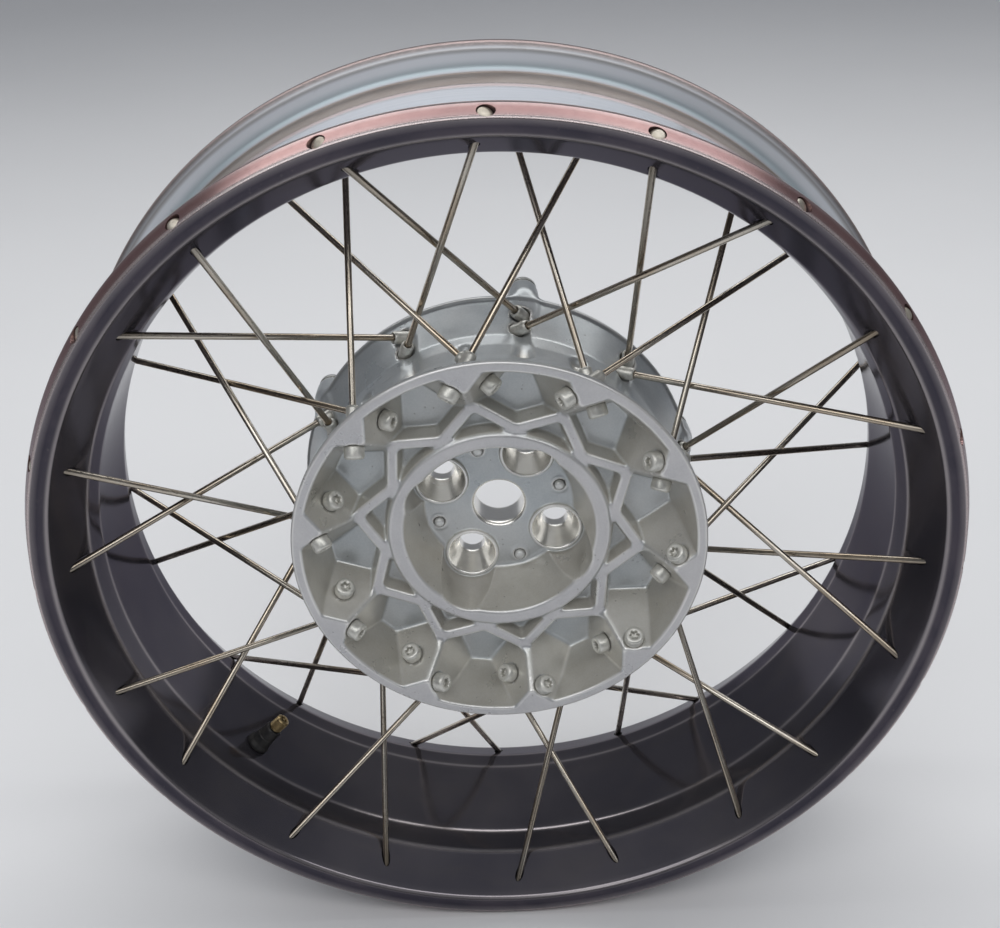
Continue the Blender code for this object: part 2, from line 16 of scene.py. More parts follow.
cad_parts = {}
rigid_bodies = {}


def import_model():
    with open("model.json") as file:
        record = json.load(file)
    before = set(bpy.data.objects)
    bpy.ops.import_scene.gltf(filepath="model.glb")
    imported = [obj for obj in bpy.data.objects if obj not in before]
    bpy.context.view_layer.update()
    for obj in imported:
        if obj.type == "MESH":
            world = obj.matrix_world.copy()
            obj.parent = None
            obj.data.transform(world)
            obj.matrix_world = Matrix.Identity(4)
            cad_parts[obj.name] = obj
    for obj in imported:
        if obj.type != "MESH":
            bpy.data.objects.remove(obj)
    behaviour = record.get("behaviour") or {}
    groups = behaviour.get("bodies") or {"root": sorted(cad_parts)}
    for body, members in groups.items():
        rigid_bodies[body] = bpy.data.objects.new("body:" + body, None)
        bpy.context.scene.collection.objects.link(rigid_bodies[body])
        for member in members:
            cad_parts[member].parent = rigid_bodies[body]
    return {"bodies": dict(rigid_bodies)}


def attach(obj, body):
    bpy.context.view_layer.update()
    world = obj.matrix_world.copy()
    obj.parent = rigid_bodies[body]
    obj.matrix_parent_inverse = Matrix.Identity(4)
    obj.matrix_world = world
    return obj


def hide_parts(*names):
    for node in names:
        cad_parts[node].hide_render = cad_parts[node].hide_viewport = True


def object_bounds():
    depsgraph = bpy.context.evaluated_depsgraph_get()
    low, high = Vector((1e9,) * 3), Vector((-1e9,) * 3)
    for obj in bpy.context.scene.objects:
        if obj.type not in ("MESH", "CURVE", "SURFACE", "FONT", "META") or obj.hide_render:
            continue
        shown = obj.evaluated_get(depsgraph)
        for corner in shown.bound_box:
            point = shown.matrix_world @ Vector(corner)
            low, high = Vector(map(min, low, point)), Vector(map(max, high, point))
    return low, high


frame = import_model()
CAD_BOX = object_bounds()
BODY = "wheel"
MM = 0.001
DEG = math.pi / 180.0

# ------------------------------------------------------------------ dimensions shared with the CAD
# Names end in _R for a radius and _Y for a distance from the wheel's centre plane.
SPOKES_PER_SIDE = 20
PITCH = 360.0 / SPOKES_PER_SIDE  # degrees between spokes of one side
CELL = 2 * math.pi / (SPOKES_PER_SIDE // 2)  # the flange repeats once per pair of spokes
SPOKE_R = 1.68
RIM_HOLE_R, RIM_HOLE_Y = 230.7, 64.0
WEB_LEAD = 27.0  # degrees from a rim hole to its web on the hub
# spoke heads at the hub: radius, y, degrees past the web, radius where the nipple starts
HEAD_EVEN = (90.44, 38.8, 5.68, 104.9)
HEAD_ODD = (87.14, 28.1, 8.24, 100.9)
NIPPLE_SEAT, NIPPLE_PROUD = 4.0, 2.2
RING_R, RING_Y = 106.5, 41.5
NODE_R, RIB_Y, APEX_R, RIB_HALF = 75.2, 22.0, 61.3, 2.3
POCKET_WALL_R, POCKET_FLOOR_WALL_R, POCKET_FLOOR_Y = 101.0, 90.6, 11.0
CUP_FLOOR_Y, CUP_FLOOR_R, CUP_DRAFT = 8.0, 40.3, 17.6
CUP_RIM_R, CUP_RIM_Y = 57.4, 23.2
BORE_R, DRIVE_FACE_Y, DRIVE_FACE_R = 13.3, 27.0, 48.0
BOLT_SECTOR = math.pi / 2  # four bolts and four pins
BOLT_0, BOLT_CIRCLE_R, BOLT_HOLE_R = 63.0, 34.4, 6.7
SEAT_MOUTH_R, SEAT_MOUTH_Y, SEAT_END_Y, BOSS_R = 13.0, 6.0, 19.5, 14.5
SEAT_SLOPE = (SEAT_MOUTH_R - BOLT_HOLE_R) / (SEAT_END_Y - SEAT_MOUTH_Y)
PIN_0, PIN_R = 18.0, 2.75
POSTS = 5
POST_SECTOR = 2 * math.pi / POSTS
POST_0, POST_CIRCLE_R, POST_END_Y, INSERT_END_Y = 9.0, 101.5, 60.2, 63.0
WELL_OUTER_R, WELL_INNER_R = 208.2, 204.0
VALVE_ANGLE, VALVE_Y, VALVE_START_R = 225.0, -14.0, 204.2


# ------------------------------------------------------------------ places
def polar(radius, y, degrees):
    angle = math.radians(degrees)
    return Vector((radius * math.cos(angle), y, radius * math.sin(angle)))


def axis_frame(start, end):
    """Metre frame with its origin at start and local Z towards end."""
    direction = (end - start).normalized()
    return Matrix.Translation(start * MM) @ direction.to_track_quat("Z", "Y").to_matrix().to_4x4()


ALONG_Y = Matrix.Rotation(-math.pi / 2, 4, "X")
OTHER_SIDE = Matrix.Rotation(math.pi, 4, "X")


def spoke_ends(k):
    """Rim end at +Y, hub end at -Y and nipple start radius of spoke k; the rest are turned over."""
    angle = PITCH * k
    rim = polar(RIM_HOLE_R, RIM_HOLE_Y, angle)
    if k % 2 == 0:
        radius, y, past, clear_r = HEAD_EVEN
        return rim, polar(radius, -y, angle + WEB_LEAD + past), clear_r
    radius, y, past, clear_r = HEAD_ODD
    return rim, polar(radius, -y, angle - WEB_LEAD - past), clear_r


def length_at_radius(rim, hub, radius):
    """Length along the spoke at which it first comes in to this wheel radius."""
    d = (hub - rim).normalized()
    a = d.x * d.x + d.z * d.z
    b = 2 * (rim.x * d.x + rim.z * d.z)
    c = rim.x**2 + rim.z**2 - radius**2
    return (-b - math.sqrt(b * b - 4 * a * c)) / (2 * a)


def valve_frame():
    start = polar(VALVE_START_R, VALVE_Y, VALVE_ANGLE)
    return axis_frame(start, polar(0.0, VALVE_Y, VALVE_ANGLE))


# ------------------------------------------------------------------ profiles, meshes, objects
def filleted(corners, steps=5, fine=0.22):
    """A closed outline from (x, y, radius) corners, each corner rounded by its radius."""
    out = []
    for i, (x, y, radius) in enumerate(corners):
        corner = np.array((x, y))
        before = np.array(corners[i - 1][:2]) - corner
        after = np.array(corners[(i + 1) % len(corners)][:2]) - corner
        before_len, after_len = np.linalg.norm(before), np.linalg.norm(after)
        before, after = before / before_len, after / after_len
        angle = math.acos(max(-1.0, min(1.0, float(before @ after))))
        if radius <= 0 or angle > math.pi - 0.02:
            out.append((x, y))
            continue
        cut = min(radius / math.tan(angle / 2), before_len * 0.48, after_len * 0.48)
        radius = cut * math.tan(angle / 2)
        to_centre = (before + after) / np.linalg.norm(before + after)
        centre = corner + to_centre * (radius / math.sin(angle / 2))
        start, end = corner + before * cut - centre, corner + after * cut - centre
        start_angle, end_angle = math.atan2(start[1], start[0]), math.atan2(end[1], end[0])
        sweep = (end_angle - start_angle + math.pi) % (2 * math.pi) - math.pi
        count = max(1, min(steps, int(math.ceil(abs(sweep) / fine))))
        for j in range(count + 1):
            t = start_angle + sweep * j / count
            out.append((centre[0] + radius * math.cos(t), centre[1] + radius * math.sin(t)))
    return out


def turned(bm, profile, segments, matrix=None, closed=False, shape=None):
    """Turn (radius, z) points about local Z; shape(i, angle, r) may vary ring i's radius."""
    rings = []
    for i, (r, z) in enumerate(profile):
        if r < 1e-9:
            rings.append([bm.verts.new((0, 0, z * MM))])
            continue
        ring = []
        for j in range(segments):
            angle = 2 * math.pi * j / segments
            radius = shape(i, angle, r) if shape else r
            place = (radius * math.cos(angle) * MM, radius * math.sin(angle) * MM, z * MM)
            ring.append(bm.verts.new(place))
        rings.append(ring)
    pairs = list(zip(rings[:-1], rings[1:]))
    if closed:
        pairs.append((rings[-1], rings[0]))
    for a, b in pairs:
        for i in range(segments):
            j = (i + 1) % segments
            if len(a) == 1:
                bm.faces.new((a[0], b[i], b[j]))
            elif len(b) == 1:
                bm.faces.new((a[i], b[0], a[j]))
            else:
                bm.faces.new((a[i], b[i], b[j], a[j]))
    if matrix is not None:
        bmesh.ops.transform(bm, matrix=matrix, verts=[v for ring in rings for v in ring])


def mesh_from(bm, name, sharp=35.0):
    """Smooth mesh whose edges over `sharp` degrees stay sharp."""
    bmesh.ops.recalc_face_normals(bm, faces=bm.faces)
    mesh = bpy.data.meshes.new(name)
    bm.to_mesh(mesh)
    bm.free()
    mesh.shade_smooth()
    mesh.set_sharp_from_angle(angle=math.radians(sharp))
    return mesh


def turned_mesh(name, profile, segments, sharp=40, **options):
    bm = bmesh.new()
    turned(bm, profile, segments, **options)
    return mesh_from(bm, name, sharp)


def linked(name, data):
    ob = bpy.data.objects.new(name, data)
    bpy.context.scene.collection.objects.link(ob)
    return ob


def piece(name, mesh, mat, matrix=None, replaces=(), body=BODY):
    ob = linked(name, mesh)
    if matrix is not None:
        ob.matrix_world = matrix
    if not mesh.materials:
        mesh.materials.append(mat)
    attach(ob, body)
    if replaces:
        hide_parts(*replaces)


def read_vectors(vertices, key):
    values = np.zeros(len(vertices) * 3, np.float32)
    vertices.foreach_get(key, values)
    return values.reshape(-1, 3)


def set_attribute(mesh, name, values):
    attribute = mesh.attributes.new(name, "FLOAT", "POINT")
    attribute.data.foreach_set("value", np.asarray(values, np.float32))


def smoothstep(v, lo, hi):
    t = np.clip((v - lo) / (hi - lo), 0, 1)
    return t * t * (3 - 2 * t)


# ------------------------------------------------------------------ material nodes
class Nodes:
    """Short calls for building a node tree. Sockets pass between the calls as values."""

    SOCKETS = {"color": "Base Color", "metal": "Metallic", "rough": "Roughness",
               "normal": "Normal", "spec": "Specular IOR Level", "aniso": "Anisotropic",
               "tangent": "Tangent", "tint": "Specular Tint"}

    def __init__(self, name):
        self.mat = bpy.data.materials.new(name)
        self.mat.use_nodes = True
        self.tree = self.mat.node_tree

    def node(self, kind, **props):
        node = self.tree.nodes.new(kind)
        for key, value in props.items():
            setattr(node, key, value)
        return node

    def put(self, socket, value):
        if isinstance(value, bpy.types.NodeSocket):
            self.tree.links.new(value, socket)
        elif isinstance(value, (tuple, list)) and len(value) == 3 and socket.type == "RGBA":
            socket.default_value = (*value, 1.0)
        else:
            socket.default_value = value

    def filled(self, kind, inputs, **props):
        """A new node whose inputs, by index or name, take these values."""
        node = self.node(kind, **props)
        for key, value in inputs.items():
            self.put(node.inputs[key], value)
        return node

    def math(self, operation, a, b=0.0):
        return self.filled("ShaderNodeMath", {0: a, 1: b, 2: 0.0}, operation=operation).outputs[0]

    def times(self, value, *factors):
        for factor in factors:
            value = self.math("MULTIPLY", value, factor)
        return value

    def add(self, base, extra, strength=None):
        if strength is not None:
            extra = self.times(extra, strength)
        return self.math("ADD", base, extra)

    def coord(self, output="Object"):
        return self.node("ShaderNodeTexCoord").outputs[output]

    def xyz(self, vec):
        return self.filled("ShaderNodeSeparateXYZ", {0: vec}).outputs

    def vec(self, *parts):
        """A vector of three parts; a part given as (value, scale) is multiplied out."""
        parts = [self.times(*part) if isinstance(part, tuple) else part for part in parts]
        return self.filled("ShaderNodeCombineXYZ", dict(enumerate(parts))).outputs[0]

    def wheel(self, co):
        """Radius and y of a point on the wheel in millimetres, and its x and z in metres."""
        x, y, z = self.xyz(co)
        radius = self.math("SQRT", self.add(self.times(x, x), self.times(z, z)))
        return self.times(radius, 1000.0), self.times(y, 1000.0), x, z

    def noise(self, vec, scale, detail=3.0, rough=0.6, distortion=0.0):
        inputs = {"Vector": vec, "Scale": scale, "Detail": detail, "Roughness": rough,
                  "Distortion": distortion}
        return self.filled("ShaderNodeTexNoise", inputs).outputs["Fac"]

    def voronoi(self, vec, scale):
        inputs = {"Vector": vec, "Scale": scale}
        return self.filled("ShaderNodeTexVoronoi", inputs).outputs["Distance"]

    def ramp(self, value, at, to=(0.0, 1.0)):
        """Smooth change from to[0] to to[1] as the value goes from at[0] to at[1]."""
        inputs = {"Value": value, "From Min": at[0], "From Max": at[1],
                  "To Min": to[0], "To Max": to[1]}
        props = {"clamp": True, "interpolation_type": "SMOOTHSTEP"}
        return self.filled("ShaderNodeMapRange", inputs, **props).outputs["Result"]

    def between(self, value, rise, fall):
        return self.times(self.ramp(value, at=rise), self.ramp(value, at=fall))

    def mix(self, fac, under, over):
        inputs = {0: fac, 6: under, 7: over}
        return self.filled("ShaderNodeMix", inputs, data_type="RGBA").outputs[2]

    def mixf(self, fac, low, high):
        inputs = {0: fac, 2: low, 3: high}
        return self.filled("ShaderNodeMix", inputs, data_type="FLOAT").outputs[0]

    def tones(self, value, at, low, high):
        return self.mix(self.ramp(value, at), low, high)

    def layer(self, under, mask, over, strength=None):
        """The colour `over` laid on `under` where the mask is up."""
        if strength is not None:
            mask = self.times(mask, strength)
        return self.mix(mask, under, over)

    def bump(self, height, strength, distance, normal=None):
        inputs = {"Strength": strength, "Distance": distance, "Height": height}
        if normal is not None:
            inputs["Normal"] = normal
        return self.filled("ShaderNodeBump", inputs).outputs[0]

    def attribute(self, name, output="Fac"):
        return self.node("ShaderNodeAttribute", attribute_name=name).outputs[output]

    def occlusion(self, distance, samples=2):
        inputs = {"Distance": distance}
        return self.filled("ShaderNodeAmbientOcclusion", inputs, samples=samples).outputs["AO"]

    def out(self, **sockets):
        bsdf = self.tree.nodes["Principled BSDF"]
        for key, value in sockets.items():
            self.put(bsdf.inputs[self.SOCKETS[key]], value)
        return self.mat


def rim_material():
    """Dark anodising on the hub side and side faces, bare satin metal on the tyre side."""
    mat = Nodes("rim_finish")
    co = mat.coord()
    r, y, x, z = mat.wheel(co)
    ay = mat.math("ABSOLUTE", y)
    angle = mat.math("ARCTAN2", z, x)
    arc = mat.times(angle, 232.0)  # millimetres round the rim
    # streaks that run round the rim, from turning and polishing
    lines = mat.noise(mat.vec((r, 1.1), (ay, 1.1), (angle, 1.2)), scale=2.6, detail=4.0)
    cloud = mat.noise(co, scale=9.0, detail=4.0)
    fine = mat.noise(co, scale=420.0)
    smear = mat.noise(mat.vec((arc, 0.02), (ay, 0.05), (r, 0.05)),
                      scale=1.3, detail=4.0, rough=0.62, distortion=0.6)
    tyre = mat.attribute("tyre_side")
    band = mat.attribute("band")
    edge = mat.attribute("edge")
    face = mat.attribute("side_face_shade")

    # dark side, with its side faces painted darker as shade and its outer bands
    dark = mat.tones(cloud, at=(0.3, 0.7), low=(0.082, 0.078, 0.094), high=(0.116, 0.108, 0.120))
    film = mat.ramp(smear, at=(0.45, 0.8))
    dark = mat.layer(dark, film, over=(0.130, 0.115, 0.105), strength=0.22)
    dark = mat.layer(dark, face, over=mat.tones(
        smear, at=(0.35, 0.7), low=(0.046, 0.043, 0.058), high=(0.070, 0.062, 0.078)))
    dark = mat.layer(dark, band, over=mat.tones(
        cloud, at=(0.3, 0.7), low=(0.24, 0.150, 0.150), high=(0.32, 0.205, 0.195)))
    # fine dust specks; the edges are lightened, partly as wear and partly as painted highlight
    # lines along the ridges and corners
    specks = mat.ramp(mat.noise(co, scale=620.0, detail=2.0, rough=0.5), at=(0.70, 0.76))
    dark = mat.layer(dark, specks, over=(0.20, 0.19, 0.18), strength=0.25)
    nicks = mat.ramp(mat.noise(co, scale=130.0, detail=5.0, rough=0.7), at=(0.60, 0.68))
    patches = mat.ramp(mat.noise(co, scale=9.0, rough=0.55), at=(0.25, 0.65), to=(0.70, 1.0))
    highlight_and_wear = mat.times(edge, patches)
    dark = mat.layer(dark, highlight_and_wear, over=(0.60, 0.55, 0.55), strength=0.85)
    dark = mat.layer(dark, mat.times(nicks, edge), over=(0.66, 0.63, 0.62), strength=0.08)

    # bare side, from the well outward
    bare = mat.tones(lines, at=(0.25, 0.75), low=(0.43, 0.455, 0.50), high=(0.50, 0.52, 0.56))
    hump = mat.between(ay, rise=(28.0, 29.4), fall=(35.2, 34.4))
    bare = mat.layer(bare, hump, over=(0.36, 0.295, 0.295), strength=0.85)
    bead = mat.between(ay, rise=(34.6, 35.4), fall=(50.8, 50.2))
    bare = mat.layer(bare, bead, strength=0.95, over=mat.tones(
        smear, at=(0.3, 0.7), low=(0.31, 0.27, 0.245), high=(0.25, 0.205, 0.18)))
    # a thin broken line between hump and bead seat
    tick = mat.ramp(mat.noise(mat.vec((arc, 0.55), y, 0.0), scale=1.0), at=(0.42, 0.55))
    off_line = mat.math("ABSOLUTE", mat.math("SUBTRACT", ay, 34.9))
    line = mat.times(mat.ramp(off_line, at=(0.55, 0.2)), mat.add(0.35, tick, strength=0.5))
    bare = mat.layer(bare, line, over=(0.07, 0.06, 0.055))
    # the wall beside the bead seat, lighter towards its outer radius as a painted highlight, then
    # its darker outer edge
    wall = mat.between(ay, rise=(50.6, 51.2), fall=(53.6, 52.9))
    bare = mat.layer(bare, wall, strength=0.9, over=mat.tones(
        r, at=(221.0, 225.5), low=(0.46, 0.54, 0.58), high=(0.80, 0.83, 0.88)))
    wall_edge = mat.times(wall, mat.ramp(r, at=(226.8, 229.4)))
    bare = mat.layer(bare, wall_edge, over=(0.27, 0.255, 0.25), strength=0.8)
    # the scuffed lip
    lip = mat.ramp(ay, at=(53.0, 54.2))
    scuff = mat.noise(mat.vec((arc, 0.25), (ay, 1.2), r), scale=1.0, detail=5.0, rough=0.7)
    scuff = mat.ramp(scuff, at=(0.42, 0.62))
    bare = mat.layer(bare, lip, strength=0.9, over=mat.layer(
        (0.21, 0.185, 0.18), scuff, over=(0.34, 0.285, 0.275), strength=0.6))
    # a painted highlight: a thin light pink line along the lip's top edge
    lip_top_highlight = mat.times(lip, mat.ramp(r, at=(231.7, 232.4)))
    bare = mat.layer(bare, lip_top_highlight, over=(0.52, 0.40, 0.385), strength=0.7)
    stain = mat.ramp(mat.noise(co, scale=34.0, detail=5.0, rough=0.7), at=(0.58, 0.72))
    bare = mat.layer(bare, stain, over=(0.20, 0.17, 0.15), strength=0.3)

    rough = mat.mixf(band, low=mat.ramp(cloud, at=(0.3, 0.7), to=(0.11, 0.15)),
                     high=mat.ramp(fine, at=(0.3, 0.7), to=(0.19, 0.24)))
    rough = mat.add(rough, film, strength=0.03)
    bare_rough = mat.ramp(lines, at=(0.3, 0.7), to=(0.40, 0.48))
    rough = mat.mixf(tyre, low=rough, high=mat.add(bare_rough, bead, strength=0.08))
    rough = mat.add(rough, highlight_and_wear, strength=0.06)
    normal = mat.bump(lines, strength=0.03, distance=0.0001)
    normal = mat.bump(fine, strength=0.05, distance=0.00005, normal=normal)
    normal = mat.bump(mat.times(nicks, edge), strength=0.03, distance=0.00005, normal=normal)
    return mat.out(color=mat.layer(dark, tyre, over=bare),
                   metal=mat.mixf(tyre, low=0.75, high=0.72), rough=rough, normal=normal,
                   tint=mat.mix(tyre, under=(0.30, 0.29, 0.33), over=(1.0, 1.0, 1.0)))


def hub_material():
    """Blasted and lacquered casting with a faint speckle, grime and painted shade in its corners,
    painted highlights on its edges and hollows, painted reflections on its faces, machined seats.
    """
    mat = Nodes("hub_casting")
    co = mat.coord()
    r, y, _, _ = mat.wheel(co)
    grain = mat.noise(co, scale=900.0)
    cloud = mat.noise(co, scale=38.0, detail=4.0)
    wide = mat.noise(co, scale=12.0, rough=0.55)
    # painted reflection: faces square to the axis are painted a cooler blue-grey and the inner
    # walls between them a lighter warm beige, as if reflecting a cool surround and warm light
    normal = mat.coord("Normal")
    facing = mat.math("ABSOLUTE", mat.xyz(normal)[1])
    flat = mat.tones(cloud, at=(0.32, 0.68), low=(0.43, 0.465, 0.485), high=(0.51, 0.54, 0.555))
    wall = mat.tones(cloud, at=(0.32, 0.68), low=(0.52, 0.505, 0.455), high=(0.61, 0.595, 0.545))
    normal_x, _, normal_z = mat.xyz(normal)
    x, _, z = mat.xyz(co)
    radial = mat.math("DIVIDE", mat.add(mat.times(normal_x, x), mat.times(normal_z, z)),
                      mat.times(r, MM))
    outside = mat.times(mat.ramp(radial, at=(0.05, 0.4)), mat.ramp(r, at=(90.0, 93.0)))
    warm_reflection_mask = mat.times(mat.ramp(facing, at=(0.90, 0.45)), mat.math("SUBTRACT", 1.0, outside))
    base = mat.layer(flat, warm_reflection_mask, over=wall)
    warm = mat.ramp(wide, at=(0.42, 0.62))
    base = mat.layer(base, warm, over=(0.55, 0.52, 0.48), strength=0.25)
    # proud faces (ring and ribs) facing -Y are painted a lighter, slightly violet grey as a painted
    # reflection
    base = mat.layer(base, mat.attribute("proud"), strength=0.85, over=mat.tones(
        cloud, at=(0.3, 0.7), low=(0.50, 0.495, 0.51), high=(0.58, 0.57, 0.58)))
    # painted highlight lines on edges and in hollows, from the surface's own curvature
    curve = mat.attribute("curve")
    convex_highlight = mat.ramp(curve, at=(0.08, 0.40), to=(0.0, 0.9))
    base = mat.layer(base, convex_highlight, over=(0.86, 0.85, 0.83))
    hollow_highlight = mat.ramp(curve, at=(-0.10, -0.45), to=(0.0, 0.5))
    base = mat.layer(base, hollow_highlight, over=(0.80, 0.83, 0.83))
    # grime patches laid where the surface is occluded; this also paints shade into corners and
    # hollows
    corners = mat.ramp(mat.occlusion(distance=0.010, samples=3), at=(0.70, 0.10))
    patches = mat.noise(co, scale=70.0, detail=4.0, rough=0.65)
    grime_and_shade = mat.times(corners, mat.ramp(patches, at=(0.3, 0.7), to=(0.35, 1.0)))
    base = mat.layer(base, grime_and_shade, over=(0.22, 0.20, 0.17), strength=0.5)
    # speckle
    few = mat.ramp(mat.noise(co, scale=95.0, detail=2.0, rough=0.5), at=(0.58, 0.62))
    pits = mat.times(mat.ramp(mat.voronoi(co, scale=300.0), at=(0.18, 0.10)), few)
    base = mat.layer(base, pits, over=(0.16, 0.15, 0.14), strength=0.45)
    light_grain = mat.ramp(grain, at=(0.35, 0.70), to=(0.0, 0.18))
    base = mat.layer(base, light_grain, over=(0.70, 0.71, 0.72))
    # machined seats, bore and end faces
    cut = mat.attribute("machined")
    lines = mat.noise(mat.vec(mat.attribute("ring_mm"), (y, 0.9), 0.0), scale=3.4)
    base = mat.layer(base, cut, over=mat.tones(
        lines, at=(0.3, 0.7), low=(0.74, 0.73, 0.70), high=(0.84, 0.83, 0.80)))
    metal = mat.mixf(cut, low=mat.ramp(grime_and_shade, at=(0.0, 1.0), to=(0.50, 0.25)), high=1.0)
    cast_rough = mat.ramp(cloud, at=(0.3, 0.7), to=(0.27, 0.34))
    rough = mat.mixf(cut, low=mat.add(cast_rough, grime_and_shade, strength=0.25),
                     high=mat.ramp(lines, at=(0.3, 0.7), to=(0.20, 0.26)))
    relief = mat.bump(grain, strength=0.20, distance=0.00010)
    relief = mat.bump(mat.noise(co, scale=160.0), strength=0.10, distance=0.0002, normal=relief)
    relief = mat.bump(mat.math("SUBTRACT", 1.0, pits), strength=0.5, distance=0.0002,
                      normal=relief)
    return mat.out(color=base, metal=metal, rough=rough, normal=relief,
                   aniso=mat.times(cut, 0.75), tangent=mat.attribute("across_marks", "Vector"))


def spoke_material():
    """Stainless wire with brown film and a painted shadow that darkens it towards the rim end; z is
    the length in metres.
    """
    mat = Nodes("spoke_stainless")
    co = mat.coord()
    x, y, z = mat.xyz(co)
    random = mat.node("ShaderNodeObjectInfo").outputs["Random"]
    length = mat.add(mat.times(z, 14.0), random, strength=40.0)
    along = mat.vec((x, 120.0), (y, 120.0), length)
    tone = mat.noise(along, scale=1.0, detail=4.0)
    base = mat.tones(tone, at=(0.35, 0.68), low=(0.64, 0.60, 0.53), high=(0.44, 0.355, 0.26))
    dull = mat.ramp(random, at=(0.2, 0.9), to=(0.0, 0.40))
    base = mat.layer(base, dull, over=(0.30, 0.26, 0.21))
    # painted shadow of the rim: darker over the last 40 mm towards the rim end
    rim_shadow = mat.ramp(z, at=(0.040, 0.006), to=(0.0, 0.75))
    base = mat.layer(base, rim_shadow, over=(0.13, 0.11, 0.09))
    head = mat.ramp(z, at=(0.0050, 0.0036))
    base = mat.layer(base, head, strength=0.9, over=mat.tones(
        tone, at=(0.35, 0.68), low=(0.56, 0.52, 0.45), high=(0.40, 0.36, 0.30)))
    spots = mat.ramp(mat.noise(mat.vec(x, y, mat.add(z, random)), scale=900.0), at=(0.62, 0.70))
    base = mat.layer(base, spots, over=(0.12, 0.09, 0.07), strength=0.6)
    rough = mat.ramp(mat.noise(along, scale=3.0), at=(0.3, 0.7), to=(0.20, 0.32))
    drawn = mat.noise(mat.vec((x, 2200.0), (y, 2200.0), (z, 60.0)),
                      scale=1.0, detail=2.0, rough=0.5)
    return mat.out(color=base, metal=mat.mixf(head, low=1.0, high=0.8),
                   rough=mat.mixf(head, low=rough, high=0.40),
                   normal=mat.bump(drawn, strength=0.12, distance=0.00005), aniso=0.3)


def metal_material(name, low, high, rough, dirt_and_shade=(0.16, 0.14, 0.11), scale=260.0, metal=1.0):
    """Plated or turned small parts: two metal tones, dull and dirty in corners, which are also
    darkened there as painted shade.
    """
    mat = Nodes(name)
    co = mat.coord()
    tone = mat.noise(co, scale=scale, detail=4.0)
    base = mat.tones(tone, at=(0.3, 0.7), low=low, high=high)
    patches = mat.ramp(mat.noise(co, scale=scale * 1.7), at=(0.25, 0.7), to=(0.4, 1.0))
    # dirt laid where the surface is occluded; this also paints shade into the corners
    grime_and_shade = mat.times(mat.ramp(mat.occlusion(distance=0.0025), at=(0.8, 0.2)), patches)
    base = mat.layer(base, grime_and_shade, over=dirt_and_shade, strength=0.7)
    rough = mat.add(mat.ramp(tone, at=(0.3, 0.7), to=rough), grime_and_shade, strength=0.2)
    grain = mat.noise(co, scale=scale * 4)
    return mat.out(color=base, metal=mat.ramp(grime_and_shade, at=(0.0, 1.0), to=(metal, metal * 0.6)),
                   rough=rough, normal=mat.bump(grain, strength=0.15, distance=0.00006))


def rubber_material():
    mat = Nodes("valve_rubber_finish")
    co = mat.coord()
    tone = mat.noise(co, scale=300.0, detail=4.0, rough=0.65)
    base = mat.tones(tone, at=(0.35, 0.7), low=(0.008, 0.008, 0.009), high=(0.024, 0.022, 0.021))
    dust = mat.ramp(mat.noise(co, scale=90.0, detail=4.0, rough=0.7), at=(0.5, 0.75))
    base = mat.layer(base, dust, over=(0.075, 0.065, 0.055), strength=0.25)
    grain = mat.noise(co, scale=1500.0)
    return mat.out(color=base, metal=0.0, rough=mat.ramp(tone, at=(0.3, 0.7), to=(0.42, 0.65)),
                   normal=mat.bump(grain, strength=0.25, distance=0.0001), spec=0.4)


RIM = rim_material()
HUB = hub_material()
SPOKE = spoke_material()
NIPPLE = metal_material("nipple_zinc", low=(0.58, 0.58, 0.54), high=(0.76, 0.75, 0.70),
                        rough=(0.32, 0.46), metal=0.6)
PIN = metal_material("pin_zinc", low=(0.62, 0.63, 0.63), high=(0.78, 0.79, 0.78),
                     rough=(0.30, 0.42), metal=0.6)
INSERT = metal_material("insert_steel", low=(0.42, 0.43, 0.42), high=(0.60, 0.60, 0.58),
                        rough=(0.28, 0.42))
BRASS = metal_material("valve_brass_finish", low=(0.27, 0.20, 0.10), high=(0.44, 0.34, 0.19),
                       rough=(0.32, 0.50), dirt_and_shade=(0.07, 0.05, 0.03), scale=420.0)
RUBBER = rubber_material()


# ------------------------------------------------------------------ rim
RIM_HALF = (  # radius, distance from the centre plane, corner radius
    (WELL_OUTER_R, 23.4, 3.2),
    (217.4, 28.6, 2.0),
    (218.2, 31.0, 2.5),
    (217.3, 34.6, 3.0),
    (218.6, 50.2, 1.6),
    (221.4, 51.6, 5.0),
    (229.2, 52.9, 4.0),
    (232.2, 54.6, 1.4),
    (232.5, 56.0, 0.8),
    (232.5, 58.65, 0.9),
    (229.6, 66.9, 1.6),
    (228.3, 68.0, 1.5),
    (220.4, 66.1, 4.5),
    (206.55, 42.4, 14.0),
    (WELL_INNER_R, 28.5, 20.0),
)
# stepped hole for a spoke's head and shank: radius, length along the spoke
SPOKE_DRILL = ((0.0, -8.0), (4.05, -8.0), (4.05, 3.95), (2.3, 5.7), (2.3, 23.0), (4.2, 40.0),
               (0.0, 40.0))
VALVE_DRILL = ((0, -15), (5.7, -15), (5.7, 15), (0, 15))
# edges lightened on the dark side: partly wear, partly painted highlight lines
RIM_HIGHLIGHT_AND_WEAR_EDGES = (  # radius, distance from the centre plane, width, weight
    (232.5, 58.65, 0.8, 0.4),
    (228.9, 67.6, 1.1, 1.0),
    (220.5, 65.8, 1.1, 0.6),
    (206.7, 42.4, 1.1, 0.6),
    (204.1, 28.5, 1.1, 0.6),
)


